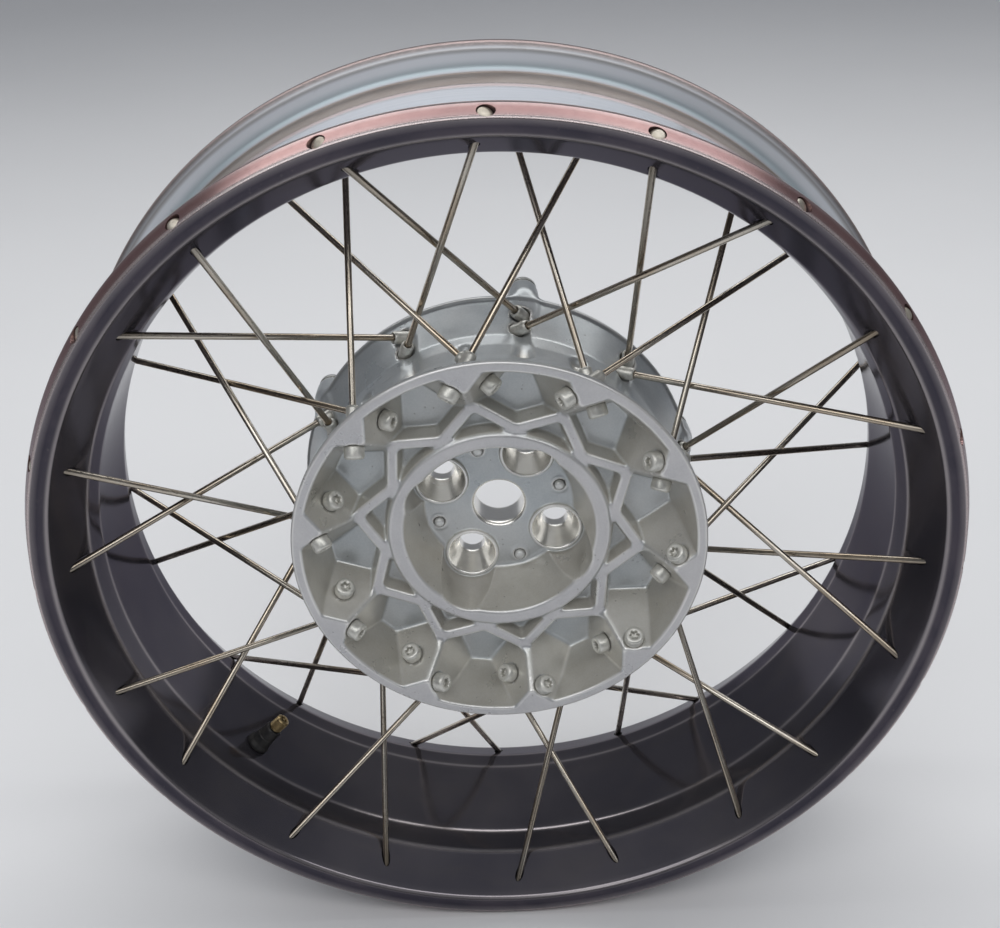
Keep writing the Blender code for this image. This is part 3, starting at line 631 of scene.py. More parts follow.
def rim_outline(flat_length=3.2):
    """The closed section, its long flats split so the drilled holes meet well-shaped faces."""
    corners = list(RIM_HALF) + [(r, -y, fillet) for r, y, fillet in reversed(RIM_HALF)]
    outline = filleted(corners, steps=9, fine=0.05)
    split = []
    for i, p in enumerate(outline):
        q = outline[(i + 1) % len(outline)]
        n = max(1, int(round(math.dist(p, q) / flat_length)))
        for j in range(n):
            split.append((p[0] + (q[0] - p[0]) * j / n, p[1] + (q[1] - p[1]) * j / n))
    return split


def rim_drillings():
    bm = bmesh.new()
    for turn in (Matrix.Identity(4), OTHER_SIDE):
        for k in range(SPOKES_PER_SIDE):
            start, end, _ = spoke_ends(k)
            turned(bm, SPOKE_DRILL, 28, matrix=turn @ axis_frame(start, end))
    turned(bm, VALVE_DRILL, 32, matrix=valve_frame())
    return mesh_from(bm, "rim_drillings")


def mark_rim(mesh):
    """Attributes that tell the rim's finishes apart, with the side faces painted darker as shade
    and the edges that carry wear and painted highlight lines.
    """
    co = read_vectors(mesh.vertices, "co") * 1000
    r, ay = np.hypot(co[:, 0], co[:, 2]), np.abs(co[:, 1])
    tyre = ((ay < 58.2) & (r > 205.6 + np.clip((ay - 30) * 0.45, 0, 20))).astype(float)
    set_attribute(mesh, "tyre_side", tyre)
    on_band = ((ay > 58.4) & (r > 228.3)).astype(float)
    set_attribute(mesh, "band", on_band * smoothstep(ay, 58.2, 58.8))
    # side faces, painted darker than the rest of the dark side as shade
    face = smoothstep(ay, 64.8, 66.0) * smoothstep(r, 220.0, 221.2) * (1 - on_band * 0.999)
    set_attribute(mesh, "side_face_shade", face)
    # edges lightened for wear and for painted highlight lines
    edge = sum(
        np.exp(-(((r - edge_r) ** 2 + (ay - edge_y) ** 2) / (width * width))) * weight
        for edge_r, edge_y, width, weight in RIM_HIGHLIGHT_AND_WEAR_EDGES
    )
    set_attribute(mesh, "edge", np.clip(edge, 0, 1))


def build_rim():
    blank = linked("rim_blank", turned_mesh("rim_turned", rim_outline(), 320, sharp=50,
                                            matrix=ALONG_Y, closed=True))
    cutter = linked("rim_drillings", rim_drillings())
    drill = blank.modifiers.new("drill", "BOOLEAN")
    drill.operation, drill.object, drill.solver = "DIFFERENCE", cutter, "EXACT"
    bpy.context.view_layer.update()
    graph = bpy.context.evaluated_depsgraph_get()
    mesh = bpy.data.meshes.new_from_object(blank.evaluated_get(graph))
    mesh.name = "rim"
    bpy.data.objects.remove(blank)
    bpy.data.objects.remove(cutter)
    mesh.shade_smooth()
    mesh.set_sharp_from_angle(angle=math.radians(32))
    mark_rim(mesh)
    piece("rim_body", mesh, RIM, replaces=("rim",))


# ------------------------------------------------------------------ hub distance field
# Distances are negative inside a body. r, phi and y are grid axes that broadcast together.
def common(a, b, fillet):
    h = np.maximum(fillet - np.abs(a - b), 0)
    return np.maximum(a, b) + h * h / (4 * fillet)


def joined(a, b, fillet):
    h = np.maximum(fillet - np.abs(a - b), 0)
    return np.minimum(a, b) - h * h / (4 * fillet)


def cut_out(a, b, fillet):
    return common(a, -b, fillet)


def fold(phi, centre, sector):
    """Angle from the nearest of the centres that repeat once per sector; centre in degrees."""
    return (phi - centre * DEG + sector / 2) % sector - sector / 2


def axis_distance(r, angle, circle_r):
    """Distance from an axis parallel to Y that stands at angle zero on a circle."""
    return np.sqrt((r * np.cos(angle) - circle_r) ** 2 + (r * np.sin(angle)) ** 2)


def plane_distance(x, y, z, point, normal):
    return (x - point[0]) * normal[0] + (y - point[1]) * normal[1] + (z - point[2]) * normal[2]


def seat_cone(y):
    return BOLT_HOLE_R + (SEAT_END_Y - y) * SEAT_SLOPE


def outline_distance(points, r, y):
    """Signed distance in the (r, y) plane to a closed outline."""
    points = np.array(points, np.float32)
    best = np.full(r.shape, 1e9, np.float32)
    inside = np.zeros(r.shape, bool)
    for p, q in zip(points, np.roll(points, -1, 0)):
        e = q - p
        wx, wy = r - p[0], y - p[1]
        t = np.clip((wx * e[0] + wy * e[1]) / max(float(e @ e), 1e-12), 0, 1)
        best = np.minimum(best, (wx - t * e[0]) ** 2 + (wy - t * e[1]) ** 2)
        if q[1] != p[1]:
            crosses = (p[1] > y) != (q[1] > y)
            inside ^= crosses & (r < (q[0] - p[0]) * (y - p[1]) / (q[1] - p[1]) + p[0])
    return np.where(inside, -np.sqrt(best), np.sqrt(best)).astype(np.float32)


def hub_outline():
    """The hub's solid section, from (radius, y, corner radius) corners."""
    flange = [
        (58.4, RIB_Y, 1.2),
        (NODE_R, RIB_Y, 3.0),
        (91.3, RING_Y, 1.0),
        (RING_R, RING_Y, 1.6),
        (RING_R, RING_Y - 3.3, 0.6),
        (RING_R - 1.6, RING_Y - 4.3, 1.0),
        (95.4, 15.5, 4.0),
        (94.0, 6.0, 8.0),
    ]
    front = [(BORE_R, -CUP_RIM_Y, 0.0), (CUP_RIM_R - 0.4, -CUP_RIM_Y, 1.4)]
    rear = [
        (51.0, RIB_Y, 1.2),
        (DRIVE_FACE_R, DRIVE_FACE_Y, 1.0),
        (BORE_R + 1.2, DRIVE_FACE_Y, 0.3),
        (BORE_R, DRIVE_FACE_Y - 1.2, 0.2),
    ]
    outer = [(r, -y, fillet) for r, y, fillet in flange]
    outer += [(r, y, fillet) for r, y, fillet in reversed(flange[1:])]
    return filleted(front + outer + rear, steps=6)


def waist_valley(r, phi, y, web):
    """A round valley that runs down the waist from each web."""
    top_r, top_y, foot_r, foot_y, radius = 101.6, 24.0, 94.7, -3.0, 4.4
    angle = fold(phi, web, CELL)
    x, z = r * np.cos(angle), r * np.sin(angle)
    run_r, run_y = foot_r - top_r, foot_y - top_y
    t = np.clip(((x - top_r) * run_r + (y - top_y) * run_y) / (run_r**2 + run_y**2), 0, 1)
    return np.sqrt((x - top_r - t * run_r) ** 2 + (y - top_y - t * run_y) ** 2 + z**2) - radius


def nipple_facet(sign):
    """Seat point, spoke direction and head of a nipple, with the pocket's middle at angle 0.

    Sign 1 is the even spoke, from the web one pitch below the middle, and -1 the odd one above.
    """
    rim, hub, _ = spoke_ends(0 if sign > 0 else 1)
    web = WEB_LEAD if sign > 0 else PITCH - WEB_LEAD
    back = Matrix.Rotation(math.radians(web), 3, "Y")
    turn = Matrix.Rotation(-math.radians(-PITCH * sign), 3, "Y")
    direction = back @ (hub - rim).normalized()
    head = back @ hub
    return turn @ (head - direction * NIPPLE_SEAT), turn @ direction, turn @ head


def flange_pocket(r, angle, y):
    """One pocket between the outer ring and the ribs of the -Y flange."""
    x, z = r * np.cos(angle), r * np.sin(angle)
    draft = math.atan2(POCKET_WALL_R - POCKET_FLOOR_WALL_R, RING_Y - POCKET_FLOOR_Y)
    # the outer wall is a cone, so it bows with the ring
    d = (r - (POCKET_WALL_R + (y + RING_Y) * -math.tan(draft))) * math.cos(draft)
    for sign in (1, -1):
        point, direction, _ = nipple_facet(sign)
        d = common(d, plane_distance(x, y, z, point, -direction), fillet=0.9)
    rib_draft = math.radians(8)
    for sign in (1, -1):
        node = polar(NODE_R, -RIB_Y, sign * PITCH)
        apex = polar(APEX_R, -RIB_Y, 0.0)
        along = (node - apex).normalized()
        inward = Vector((-along.z, 0, along.x)) * sign
        normal = inward * math.cos(rib_draft) + Vector((0, math.sin(rib_draft), 0))
        side = plane_distance(x, y, z, apex - inward * RIB_HALF, normal)
        d = common(d, side, fillet=1.4)
    return common(d, y + POCKET_FLOOR_Y, fillet=1.2).astype(np.float32)


def nipple_bores(r, angle, y):
    """The two nipple bores into a pocket, each with an outer recess and a shallow spot face."""
    bore_r, recess_r, spot_r = 3.75, 4.6, 5.5
    spot_depth, spot_reach = 0.55, 1.0
    x, z = r * np.cos(angle), r * np.sin(angle)
    bores = []
    for sign in (1, -1):
        _, direction, head = nipple_facet(sign)
        t = plane_distance(x, y, z, head, direction)
        dx, dy, dz = x - head[0], y - head[1], z - head[2]
        rho = np.sqrt(np.maximum(dx * dx + dy * dy + dz * dz - t * t, 0))
        bore = np.maximum(rho - bore_r, t)
        rim, hub, _ = spoke_ends(0 if sign > 0 else 1)
        recess_end = length_at_radius(rim, hub, 99.0 if sign > 0 else 95.0) - (hub - rim).length
        bore = np.minimum(bore, common(rho - recess_r, t - recess_end, fillet=0.8))
        spot = np.maximum(rho - spot_r, -(t + NIPPLE_SEAT + spot_depth))
        spot = np.maximum(spot, t - spot_reach)
        bores.append(np.minimum(bore, spot).astype(np.float32))
    return np.minimum(*bores)


def star_windows(r, phi, y):
    """Shallow triangular windows inside the star's points, open only to their own side."""
    angle = fold(phi, WEB_LEAD, CELL)
    x, z = r * np.cos(angle), r * np.sin(angle)
    cup_draft, rib_draft = math.radians(6), math.radians(14)
    d = (CUP_RIM_R + 1.4 - r) * math.cos(cup_draft) + (y + RIB_Y) * math.sin(cup_draft)
    for sign in (1, -1):
        node = polar(NODE_R, -RIB_Y, 0.0)
        apex = polar(APEX_R, -RIB_Y, sign * PITCH)
        along = (apex - node).normalized()
        outward = Vector((along.z, 0, -along.x)) * sign
        normal = outward * math.cos(rib_draft) + Vector((0, math.sin(rib_draft), 0))
        side = plane_distance(x, y, z, node - outward * (RIB_HALF + 0.7), normal)
        d = common(d, side, fillet=3.0)
    return common(d, y + POCKET_FLOOR_Y + 2.3, fillet=1.1).astype(np.float32)


def flange_cuts(r, phi, y):
    """Distances to the -Y flange's pockets, star windows and nipple bores."""
    local = fold(phi, WEB_LEAD - PITCH, CELL)
    near = [local + shift * CELL for shift in (-1, 0, 1)]
    pockets = np.minimum.reduce([flange_pocket(r, angle, y) for angle in near])
    bores = np.minimum.reduce([nipple_bores(r, angle, y) for angle in near])
    return pockets, star_windows(r, phi, y), bores


def add_posts(full, r, y, phi):
    """Brake disc posts on the +Y ring, one every 72 degrees; phi covers one of them."""
    first_r, first_y = np.argmax(r > 86.0), np.argmax(y > 24.0)
    r, y = r[first_r:, None, None], y[None, None, first_y:]
    angle = fold(phi, POST_0, POST_SECTOR)
    rho = axis_distance(r, angle, POST_CIRCLE_R)
    # 0.999 and 0.96 make up for the slope of the tapered sides
    post = (rho - (8.1 + (57.4 - y) * 0.045)) * 0.999
    post = common(post, y - 57.6, fillet=0.8)
    neck = np.maximum(rho - 7.2, y - POST_END_Y)
    post = np.minimum(post, neck)
    # the underside slants back to the ring
    slant = (r * np.cos(angle) - POST_CIRCLE_R) * 0.876 - (y - 28.0) * 0.487
    post = common(post, slant, fillet=2.0)
    post = common(post, (rho - (5.8 + (y - 28.0) * 0.30)) * 0.96, fillet=2.5)
    post = common(post, 27.0 - y, fillet=1.0)
    hole = np.maximum(rho - 4.75, 47.5 - y)
    part = joined(full[first_r:, :, first_y:], np.tile(post, (1, POSTS, 1)), fillet=3.2)
    full[first_r:, :, first_y:] = np.maximum(part, -np.tile(hole, (1, POSTS, 1)))


def shape_centre(full, r, y, phi):
    """The dished side: cup, lobes, bosses, conical seats, bolt holes, pin holes and the bore."""
    near = r < 62.0
    r = r[near][:, None, None]
    draft = CUP_DRAFT * DEG
    cup = (r - (CUP_FLOOR_R + (CUP_FLOOR_Y - y) * math.tan(draft))) * math.cos(draft)
    cup = common(cup, y - CUP_FLOOR_Y, fillet=2.6)
    # round each bolt; 0.996 makes up for the slope of the lobe's side
    rho = axis_distance(r, fold(phi, BOLT_0, BOLT_SECTOR), BOLT_CIRCLE_R)
    lobe = (rho - (15.7 + (CUP_FLOOR_Y - y) * math.tan(3.6 * DEG))) * 0.996
    lobe = common(lobe, y - (CUP_FLOOR_Y - 0.3), fillet=2.0)
    cavity = joined(cup, lobe, fillet=0.6)
    boss = common(rho - (BOSS_R + (y - SEAT_MOUTH_Y) * 0.12), SEAT_MOUTH_Y - y, fillet=0.8)
    boss = np.maximum(boss, y - 14.0)
    seat = (rho - seat_cone(y)) * math.cos(math.atan(SEAT_SLOPE))
    bolt_hole = np.maximum(rho - BOLT_HOLE_R, 0.0 - y)
    seat = np.minimum(np.maximum(seat, SEAT_MOUTH_Y - 1.2 - y), bolt_hole)
    # round each pin
    rho = axis_distance(r, fold(phi, PIN_0, BOLT_SECTOR), BOLT_CIRCLE_R)
    pin = np.maximum(np.maximum(rho - (PIN_R + 0.3), y - 18.3), -y)
    pad = common(rho - 5.2, CUP_FLOOR_Y - 0.35 - y, fillet=0.5)
    pad = np.maximum(pad, y - 12.0)
    # the bore's chamfer is at 45 degrees
    chamfer = (r - (BORE_R + (CUP_FLOOR_Y + 1.3 - y))) * 0.7071
    bore = np.minimum(r - BORE_R, np.maximum(chamfer, CUP_FLOOR_Y - 1.5 - y))
    cavity, boss, pad, holes = (
        np.tile(v, (1, 4, 1)) for v in (cavity, boss, pad, np.minimum(seat, pin))
    )
    centre = cut_out(full[near], cavity, fillet=2.0)
    centre = joined(centre, boss, fillet=0.7)
    centre = joined(centre, pad, fillet=0.5)
    centre = cut_out(centre, holes, fillet=0.5)
    full[near] = cut_out(centre, bore, fillet=0.4)


def hub_field(step, columns):
    """The hub's distance field on a polar grid, with the grid's r and y axes."""
    r = np.arange(11.8, 112.2, step, dtype=np.float32)
    y = np.arange(-43.6, 62.0, step, dtype=np.float32)

    def sector(count):
        angles = np.arange(columns // count, dtype=np.float32) * (2 * math.pi / columns)
        return angles[None, :, None]

    grid_r, phi, grid_y = r[:, None, None], sector(10), y[None, None, :]
    flat = (len(r), len(y))
    body = outline_distance(
        hub_outline(), np.broadcast_to(r[:, None], flat), np.broadcast_to(y[None, :], flat)
    )
    d = np.broadcast_to(body[:, None, :], (len(r), phi.shape[1], len(y))).astype(np.float32)
    d = cut_out(d, waist_valley(grid_r, phi, grid_y, WEB_LEAD - PITCH), fillet=3.0)
    d = cut_out(d, waist_valley(grid_r, phi, -grid_y, WEB_LEAD), fillet=3.0)
    front_pockets, front_windows, front_bores = flange_cuts(grid_r, phi, grid_y)
    rear_pockets, rear_windows, rear_bores = flange_cuts(grid_r, -phi, -grid_y)
    for pockets in (front_pockets, rear_pockets):
        d = cut_out(d, pockets, fillet=1.2)
    for windows in (front_windows, rear_windows):
        d = cut_out(d, windows, fillet=1.3)
    full = np.tile(d, (1, 10, 1))
    add_posts(full, r, y, sector(POSTS))
    full = np.maximum(full, -np.tile(np.minimum(front_bores, rear_bores), (1, 10, 1)))
    shape_centre(full, r, grid_y, sector(4))
    return full, r, y


def surface_nets(field):
    """Vertices (in grid units) and quads of the zero surface; the field's middle axis wraps."""
    _, n1, n2 = field.shape
    inside = field < 0
    ids, offsets, all_quads = [], [], []
    for axis in range(3):
        if axis == 1:
            cross = inside != np.roll(inside, -1, axis=1)
        else:
            cross = np.zeros_like(inside)
            if axis == 0:
                cross[:-1] = inside[:-1] != inside[1:]
            else:
                cross[:, :, :-1] = inside[:, :, :-1] != inside[:, :, 1:]
        i, j, k = np.nonzero(cross)
        here = field[i, j, k]
        beyond = field[i + (axis == 0), (j + (axis == 1)) % n1, k + (axis == 2)]
        t = here / (here - beyond)
        u, v = [a for a in range(3) if a != axis]
        cells = []
        for du, dv in ((0, 0), (1, 0), (1, 1), (0, 1)):
            cell = [i.copy(), j.copy(), k.copy()]
            cell[u] -= du
            cell[v] -= dv
            cell[1] %= n1
            offset = np.zeros((len(i), 3), np.float32)
            offset[:, axis] = t
            offset[:, u] = du
            offset[:, v] = dv
            cells.append((cell[0] * n1 + cell[1]) * n2 + cell[2])
            offsets.append(offset)
        ids += cells
        quads = np.stack(cells, 1)
        flip = here < 0
        if axis == 1:
            flip = ~flip
        quads[flip] = quads[flip][:, ::-1]
        all_quads.append(quads)
    ids, offsets = np.concatenate(ids), np.concatenate(offsets)
    used, inverse = np.unique(ids, return_inverse=True)
    count = np.bincount(inverse).astype(np.float32)
    mean = np.stack([np.bincount(inverse, offsets[:, a]) / count for a in range(3)], 1)
    verts = mean + np.stack([used // (n1 * n2), (used // n2) % n1, used % n2], 1)
    quads = np.searchsorted(used, np.concatenate(all_quads))
    return verts.astype(np.float32), quads.astype(np.int32)


def grid_mesh(name, verts, quads):
    mesh = bpy.data.meshes.new(name)
    mesh.vertices.add(len(verts))
    mesh.vertices.foreach_set("co", np.ascontiguousarray(verts, np.float32).ravel())
    mesh.loops.add(quads.size)
    mesh.loops.foreach_set("vertex_index", np.ascontiguousarray(quads, np.int32).ravel())
    mesh.polygons.add(len(quads))
    mesh.polygons.foreach_set("loop_start", np.arange(0, quads.size, 4, dtype=np.int32))
    mesh.update(calc_edges=True)
    mesh.validate()
    # keep the faces facing out
    bm = bmesh.new()
    bm.from_mesh(mesh)
    bmesh.ops.recalc_face_normals(bm, faces=bm.faces)
    bm.to_mesh(mesh)
    bm.free()
    mesh.shade_smooth()
    return mesh


def nearest_bolt(angle):
    """Angle of the nearest bolt, in radians."""
    return np.round((angle - BOLT_0 * DEG) / BOLT_SECTOR) * BOLT_SECTOR + BOLT_0 * DEG


def snapped(r, angle, y):
    """x and z with the vertices of bolt seats, bolt holes and bore exactly on their surfaces."""
    bolt = nearest_bolt(angle)
    bolt_x, bolt_z = BOLT_CIRCLE_R * np.cos(bolt), BOLT_CIRCLE_R * np.sin(bolt)
    dx, dz = r * np.cos(angle) - bolt_x, r * np.sin(angle) - bolt_z
    rho = np.hypot(dx, dz)
    target = np.maximum(seat_cone(y), BOLT_HOLE_R)
    on_seat = (np.abs(rho - target) < 0.3) & (y > SEAT_MOUTH_Y + 0.8) & (y < DRIVE_FACE_Y - 0.8)
    grow = np.where(on_seat, target / np.maximum(rho, 1e-6), 1.0)
    x, z = bolt_x + dx * grow, bolt_z + dz * grow
    on_bore = (np.abs(r - BORE_R) < 0.3) & (y > CUP_FLOOR_Y + 2.2) & (y < DRIVE_FACE_Y - 2.2)
    grow = np.where(on_bore, BORE_R / r, 1.0)
    return x * grow, z * grow


def mark_hub(mesh, x, y, z):
    """Attributes for the hub's finish: curvature (for painted highlights), proud faces (for a
    painted reflection), machined faces and their marks.
    """
    co = np.stack([x, y, z], 1) * MM
    r, angle = np.hypot(x, z), np.arctan2(z, x)
    normals = read_vectors(mesh.vertices, "normal")
    edges = np.zeros(len(mesh.edges) * 2, np.int32)
    mesh.edges.foreach_get("vertices", edges)
    a, b = edges.reshape(-1, 2).T
    total = len(normals)
    edge_count = np.maximum(np.bincount(a, minlength=total) + np.bincount(b, minlength=total), 1)

    def spread(values):
        """Mean of each vertex's neighbours."""
        both = np.bincount(a, values[b], total) + np.bincount(b, values[a], total)
        return both / edge_count

    # edge length differs over the grid, so the curvature is the normal's change per length
    turn = normals[b] - normals[a]
    run = (co[b] - co[a]) * 1000
    bend = (turn * run).sum(1) / np.maximum((run * run).sum(1), 1e-6)
    curve = (np.bincount(a, bend, total) + np.bincount(b, bend, total)) / edge_count
    curve = 0.5 * curve + 0.5 * spread(curve)
    set_attribute(mesh, "curve", np.clip(curve, -1, 1))

    # ring and rib faces facing -Y, which get a painted reflection
    on_ring = smoothstep(-y, RING_Y - 1.0, RING_Y - 0.4)
    on_ribs = smoothstep(-y, 20.6, 21.4) * (r < 80)
    proud = (normals[:, 1] < -0.8) * (on_ring + on_ribs)
    set_attribute(mesh, "proud", np.clip(spread(np.clip(proud, 0, 1)), 0, 1))

    # machined: conical seats, bolt holes, bore with its chamfer, post necks, +Y end face
    rho = np.hypot(r * np.cos(fold(angle, BOLT_0, BOLT_SECTOR)) - BOLT_CIRCLE_R,
                   r * np.sin(fold(angle, BOLT_0, BOLT_SECTOR)))
    in_seat = rho < np.maximum(seat_cone(y), BOLT_HOLE_R) + 0.25
    cut = in_seat & (y > SEAT_MOUTH_Y - 0.3) & (rho < SEAT_MOUTH_R + 0.3)
    cut |= (r < BORE_R + 1.6) & (y > CUP_FLOOR_Y + 0.1)
    post_angle = fold(angle, POST_0, POST_SECTOR)
    rho_post = np.hypot(r * np.cos(post_angle) - POST_CIRCLE_R, r * np.sin(post_angle))
    cut |= (rho_post < 7.0) & (y > 57.3)
    cut |= (np.abs(y - DRIVE_FACE_Y) < 0.4) & (r < DRIVE_FACE_R + 0.2)
    set_attribute(mesh, "machined", spread(cut.astype(float)) * cut)
    ring = np.where(rho < 16, rho, np.where(rho_post < 9, rho_post, r))
    set_attribute(mesh, "ring_mm", ring * 0.9)

    # the direction across the machining marks, which spreads highlights into radial streaks
    bolt = nearest_bolt(angle)
    from_bolt = np.stack([r * np.cos(angle) - BOLT_CIRCLE_R * np.cos(bolt), 0 * r,
                          r * np.sin(angle) - BOLT_CIRCLE_R * np.sin(bolt)], 1)
    from_axis = np.stack([np.cos(angle), 0 * angle, np.sin(angle)], 1)
    away = np.where((rho < 16)[:, None], from_bolt, from_axis)
    away = away - normals * (away * normals).sum(1, keepdims=True)
    away /= np.maximum(np.linalg.norm(away, axis=1, keepdims=True), 1e-6)
    across = mesh.attributes.new("across_marks", "FLOAT_VECTOR", "POINT")
    across.data.foreach_set("vector", np.ascontiguousarray(away, np.float32).ravel())


def build_hub():
    step, columns = ((0.72, 720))
    field, grid_r, grid_y = hub_field(step, columns)
    verts, quads = surface_nets(field)
    r = grid_r[0] + verts[:, 0] * step
    angle = verts[:, 1] * (2 * math.pi / columns)
    y = grid_y[0] + verts[:, 2] * step
    x, z = snapped(r, angle, y)
    mesh = grid_mesh("hub", np.stack([x, y, z], 1) * MM, quads)
    mark_hub(mesh, x, y, z)
    piece("hub_casting_body", mesh, HUB, replaces=("hub",))


# ------------------------------------------------------------------ spokes and nipples
# Both have their local origin at the rim end; profiles are (radius, length along the spoke).
def spoke_mesh(length):
    sunk, head_len = 1.4, 2.4
    end = length - NIPPLE_SEAT - 4.0
    profile = [
        (0.0, sunk - 0.25),
        (1.6, sunk - 0.18),
        (3.0, sunk + 0.02),
        (3.45, sunk + 0.35),
        (3.6, sunk + 0.75),
        (3.6, sunk + head_len - 0.1),
        (2.6, sunk + head_len + 1.0),
        (1.85, sunk + head_len + 2.2),
        (1.72, sunk + head_len + 4.5),
        (SPOKE_R, 20.0),
        (SPOKE_R, end - 3.0),
        (SPOKE_R, end),
        (1.3, end + 0.5),
        (0.0, end + 0.5),
    ]
    return turned_mesh("spoke", profile, 24)


def nipple_mesh(length, start):
    """Bored from the rim side to give the spoke's end room, with a six-lobed socket in the head."""
    top = length + NIPPLE_PROUD
    under = length - NIPPLE_SEAT - 0.15
    bore_end = length - NIPPLE_SEAT - 3.2
    profile = [
        (0.0, bore_end),
        (1.95, bore_end),
        (1.95, start + 0.5),
        (2.5, start + 0.1),
        (3.1, start + 0.55),
        (3.45, start + 1.5),
        (3.5, under - 0.3),
        (3.6, under),
        (4.7, under),
        (5.05, under + 0.35),
        (5.1, under + 0.9),
        (5.1, top - 1.4),
        (4.8, top - 0.55),
        (4.2, top - 0.1),
        (3.55, top),
        (2.9, top - 0.04),
        (2.65, top - 0.4),
        (2.5, top - 2.6),
        (1.2, top - 3.2),
        (0.0, top - 3.3),
    ]
    lobe_depths = {15: 0.55, 16: 1.0, 17: 1.0}  # by index in the profile

    def socket(i, angle, r):
        if i not in lobe_depths:
            return r
        wave = 0.5 + 0.5 * math.cos(6 * angle)
        return r * (1 - 0.27 * lobe_depths[i] * (1 - wave**0.8))

    return turned_mesh("nipple", profile, 48, shape=socket)


def build_spokes():
    spokes, nipples = [], []
    for k in (0, 1):
        rim, hub, clear_r = spoke_ends(k)
        length = (hub - rim).length
        spokes.append(spoke_mesh(length))
        nipples.append(nipple_mesh(length, length_at_radius(rim, hub, clear_r)))
    # the side is that of the rim hole; the last value sets off the nipples' twists, in degrees
    for side, turn, twist_start in (("front", OTHER_SIDE, 0), ("rear", Matrix.Identity(4), 11)):
        for k in range(SPOKES_PER_SIDE):
            rim, hub, _ = spoke_ends(k)
            place = turn @ axis_frame(rim, hub)
            twist = Matrix.Rotation(((k * 37 + twist_start) % 60) * DEG, 4, "Z")
            tag = f"{side}_{k + 1:02d}"
            piece(f"wire_{tag}", spokes[k % 2], SPOKE, place,
                  replaces=(f"spoke_{tag}",))
            piece(f"nipple_{tag}", nipples[k % 2], NIPPLE, place @ twist)


# ------------------------------------------------------------------ small parts
def build_pins():
    top = CUP_FLOOR_Y - 2.2
    profile = (
        (0, top - 0.35), (1.2, top - 0.32), (1.9, top - 0.15), (2.35, top + 0.2),
        (2.62, top + 0.75), (PIN_R, top + 1.5), (PIN_R, 17.6), (2.3, 18.0), (0, 18.0),
    )
    mesh = turned_mesh("pin", profile, 32, matrix=ALONG_Y)
    for i in range(4):
        place = Matrix.Translation(polar(BOLT_CIRCLE_R, 0, PIN_0 + 90 * i) * MM)
        piece(f"pin_{i + 1}", mesh, PIN, place, replaces=(f"dowel_pin_{i + 1}",))


def build_inserts():
    """Flanged sleeves in the post ends."""
    inner_end = 48.0
    base = POST_END_Y + 0.3  # a small gap to the post
    corners = [
        (4.4, inner_end, 0.0),
        (4.4, base, 0.2),
        (7.6, base, 0.25),
        (7.6, INSERT_END_Y, 0.6),
        (4.3, INSERT_END_Y, 0.2),
        (3.7, INSERT_END_Y - 0.6, 0.1),
        (3.7, inner_end, 0.0),
    ]
    mesh = turned_mesh("insert", filleted(corners, steps=4), 48, matrix=ALONG_Y, closed=True)
    for i in range(POSTS):
        place = Matrix.Translation(polar(POST_CIRCLE_R, 0, POST_0 + 72 * i) * MM)
        piece(f"insert_{i + 1}", mesh, INSERT, place,
              replaces=(f"disc_insert_{i + 1}",))


def build_valve():
    """Local Z points from the rim well to the spin axis; profiles are (radius, z)."""
    place = valve_frame()
    wall, tip = 4.0, 25.2
    rubber = filleted([
        (3.3, -wall - 5.2, 0.0),
        (6.4, -wall - 5.2, 1.0),
        (7.7, -wall - 3.2, 1.0),
        (7.7, -wall - 0.45, 0.5),
        (5.4, -wall - 0.45, 0.4),
        (5.4, 0.75, 0.3),
        (6.9, 0.75, 0.5),
        (6.9, 2.4, 1.0),
        (5.9, 4.6, 1.5),
        (5.45, 8.0, 1.0),
        (5.45, 9.2, 0.4),
        (5.1, 9.6, 0.4),
        (5.0, 15.6, 0.8),
        (4.5, 16.6, 0.5),
        (3.3, 16.6, 0.2),
    ])
    stem = [(1.95, -wall - 4.6), (2.9, -wall - 4.6), (2.9, 16.9), (3.3, 17.1), (3.85, 17.4),
            (3.85, 17.9)]
    # thread grooves
    z = 18.0
    while z < 24.0:
        stem += [(3.85, z), (3.45, z + 0.25), (3.45, z + 0.4), (3.85, z + 0.65)]
        z += 0.8
    stem += [(3.8, z - 0.05), (3.2, tip - 0.25), (2.6, tip), (2.1, tip), (1.95, tip - 0.2)]
    barrel = ((0.85, 12.0), (1.4, 12.0), (1.55, 12.2), (1.55, tip - 1.2), (1.4, tip - 1.0),
              (0.95, tip - 1.0), (0.85, tip - 1.1))
    for name, replaced, profile, mat, slot, segments in (
        ("valve_rubber_sleeve", "valve_rubber", rubber, RUBBER, "valve_rubber", 48),
        ("valve_brass_stem", "valve_stem", stem, BRASS, "valve_brass", 40),
        ("valve_core_barrel", "valve_core", barrel, BRASS, "valve_brass", 24),
    ):
        mesh = turned_mesh(name, profile, segments, closed=True)
        piece(name, mesh, mat, place, replaces=(replaced,))
    needle = ((0, 8.0), (1.2, 8.0), (1.4, 8.2), (1.4, 11.68), (0.45, 11.68), (0.45, tip - 0.7),
              (0.72, tip - 0.62), (0.78, tip - 0.5), (0.74, tip - 0.3), (0.55, tip - 0.2),
              (0, tip - 0.17))
    needle_body = next(b for b in frame["bodies"] if b != BODY)
    piece("valve_core_needle", turned_mesh("valve_core_needle", needle, 20), BRASS,
          place, replaces=("valve_core_pin",), body=needle_body)


